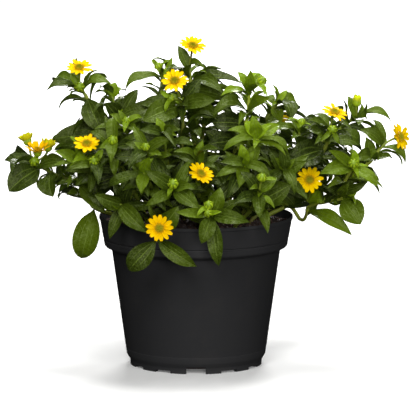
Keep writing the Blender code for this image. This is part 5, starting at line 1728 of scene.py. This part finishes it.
# Painted shadow: a darker line along each ray's margin, where neighbouring rays overlap.
margin = node(tree, "MapRange", {"Value": from_midrib, "From Min": 0.4, "From Max": 0.5, "To Max": 0.5})
aged = node(tree, "Math", {0: tone[0], 1: 0.6}, operation="MULTIPLY")
under = node(tree, "Math", {0: tone[2], 1: 0.35}, operation="MULTIPLY")
colour = node(tree, "MixRGB", {"Fac": mottle, "Color1": "#dcb400", "Color2": "#eccc00"})
layers = (foot, "#c48800"), (margin, "#b06c00"), (aged, "#dc8c04"), (tone[1], "#bccd18"), (under, "#d8c024")
for share, tint in layers:
    colour = node(tree, "MixRGB", {"Fac": share, "Color1": colour, "Color2": tint})
relief = node(tree, "Bump", {"Height": nerves, "Strength": 0.25, "Distance": 0.08 * MM})
matt = {"Roughness": 0.6, "IOR": 1.4, "Specular IOR Level": 0.2, "Specular Tint": "#ffe070"}
shader = node(tree, "BsdfPrincipled", {"Base Color": colour, "Normal": relief, **matt})
node(tree, "OutputMaterial", {"Surface": shader})

draw = random.Random(59)
for name, (_, kind, centre, axis) in HEADS.items():
    growth = Growth()
    orange, lime = ORANGE_BLOOMS.get(name, 0.05), LIME_BLOOMS.get(name, 0)
    if kind == "open":
        grow_open_rays(growth, draw, facing(centre, axis), orange)
    else:
        whorls = WHORLS["young" if lime > 0.8 else kind]
        grow_closed_rays(growth, draw, facing(centre, axis), whorls, orange, lime)
    rays = growth.build(name + "_ray_petals", ray_skin, 50)
    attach(rays, "root")
    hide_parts(name + "_rays" if kind == "open" else name)


# Disc florets
#
# The middle of a head is a low cushion of small tubular florets, packed in spirals. They are green in the
# middle while closed, and yellow with open flared mouths towards the edge.

FLORETS = 46
DOME_RISE = 0.75
GOLDEN_ANGLE = math.radians(137.508)
FLORET_SIDES = 6
FLORET_RADIUS = 0.3
OPEN_FROM = 0.45


def grow_florets(growth, draw, place, kind):
    wide, base = (2.65, 0.25) if kind == "open" else (1.9, 1.0)
    edge, top = wide * 0.95, base + DOME_RISE
    cushion = ((0, -0.2), (edge, -0.1), (edge, base), (wide * 0.6, base + 0.5), (0, top))
    growth.add(*spun(cushion, 20, place), (0.5, 0), (0.2, 0.3, 0))
    for number in range(FLORETS):
        share = math.sqrt((number + 0.5) / FLORETS)
        turn, radius, lean = number * GOLDEN_ANGLE, wide * share, share * 0.55
        spot = Vector((radius * math.cos(turn), radius * math.sin(turn), top - DOME_RISE * share * share))
        out = Vector((math.cos(turn) * math.sin(lean), math.sin(turn) * math.sin(lean), math.cos(lean)))
        tall = (0.85 + 0.35 * share) * draw.uniform(0.85, 1.15)
        mouth = 1.25 if share > OPEN_FROM else 0.55
        side, other = frame_along(out, Vector((0, 1, 0.2)))
        points, tones = [], []
        for size, height in ((0.7, 0), (1, tall * 0.55), (mouth, tall), (mouth * 0.5, tall * 0.8)):
            for step in range(FLORET_SIDES):
                angle = math.tau * step / FLORET_SIDES
                across = side * math.cos(angle) + other * math.sin(angle)
                points.append(place @ (spot + out * height + across * (FLORET_RADIUS * size)))
                tones.append((min(1, 1.2 * share**1.5 * (0.4 + 0.6 * height / tall)), draw.random(), 0))
        growth.add(points, capped_rings(4, FLORET_SIDES), (0.5, share), tones)


# Disc floret: matt, finely papillose tissue that goes from olive green to greenish yellow.
floret_skin, tree, spot, tone = tissue("green_yellow_disc_floret")
grain = node(tree, "TexNoise", {"Vector": spot, "Scale": 1 / (0.35 * MM), "Detail": 3})
green = node(tree, "MixRGB", {"Fac": grain, "Color1": "#6a7a08", "Color2": "#a4a80e"})
colour = node(tree, "MixRGB", {"Fac": tone[0], "Color1": green, "Color2": "#c8a00a"})
relief = node(tree, "Bump", {"Height": grain, "Strength": 0.4, "Distance": 0.05 * MM})
matt = {"Roughness": 0.75, "Specular IOR Level": 0.2}
shader = node(tree, "BsdfPrincipled", {"Base Color": colour, "Normal": relief, **matt})
node(tree, "OutputMaterial", {"Surface": shader})

draw = random.Random(67)
for name, (_, kind, centre, axis) in HEADS.items():
    growth = Growth()
    grow_florets(growth, draw, facing(centre, axis), kind)
    disc = growth.build(name + "_disc_florets", floret_skin, 40)
    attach(disc, "root")
    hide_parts(name + "_disc" if kind == "open" else name)


boxes = {"solids": cad_box, "with_looks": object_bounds()}
{key: [list(corner) for corner in box] for key, box in boxes.items()}
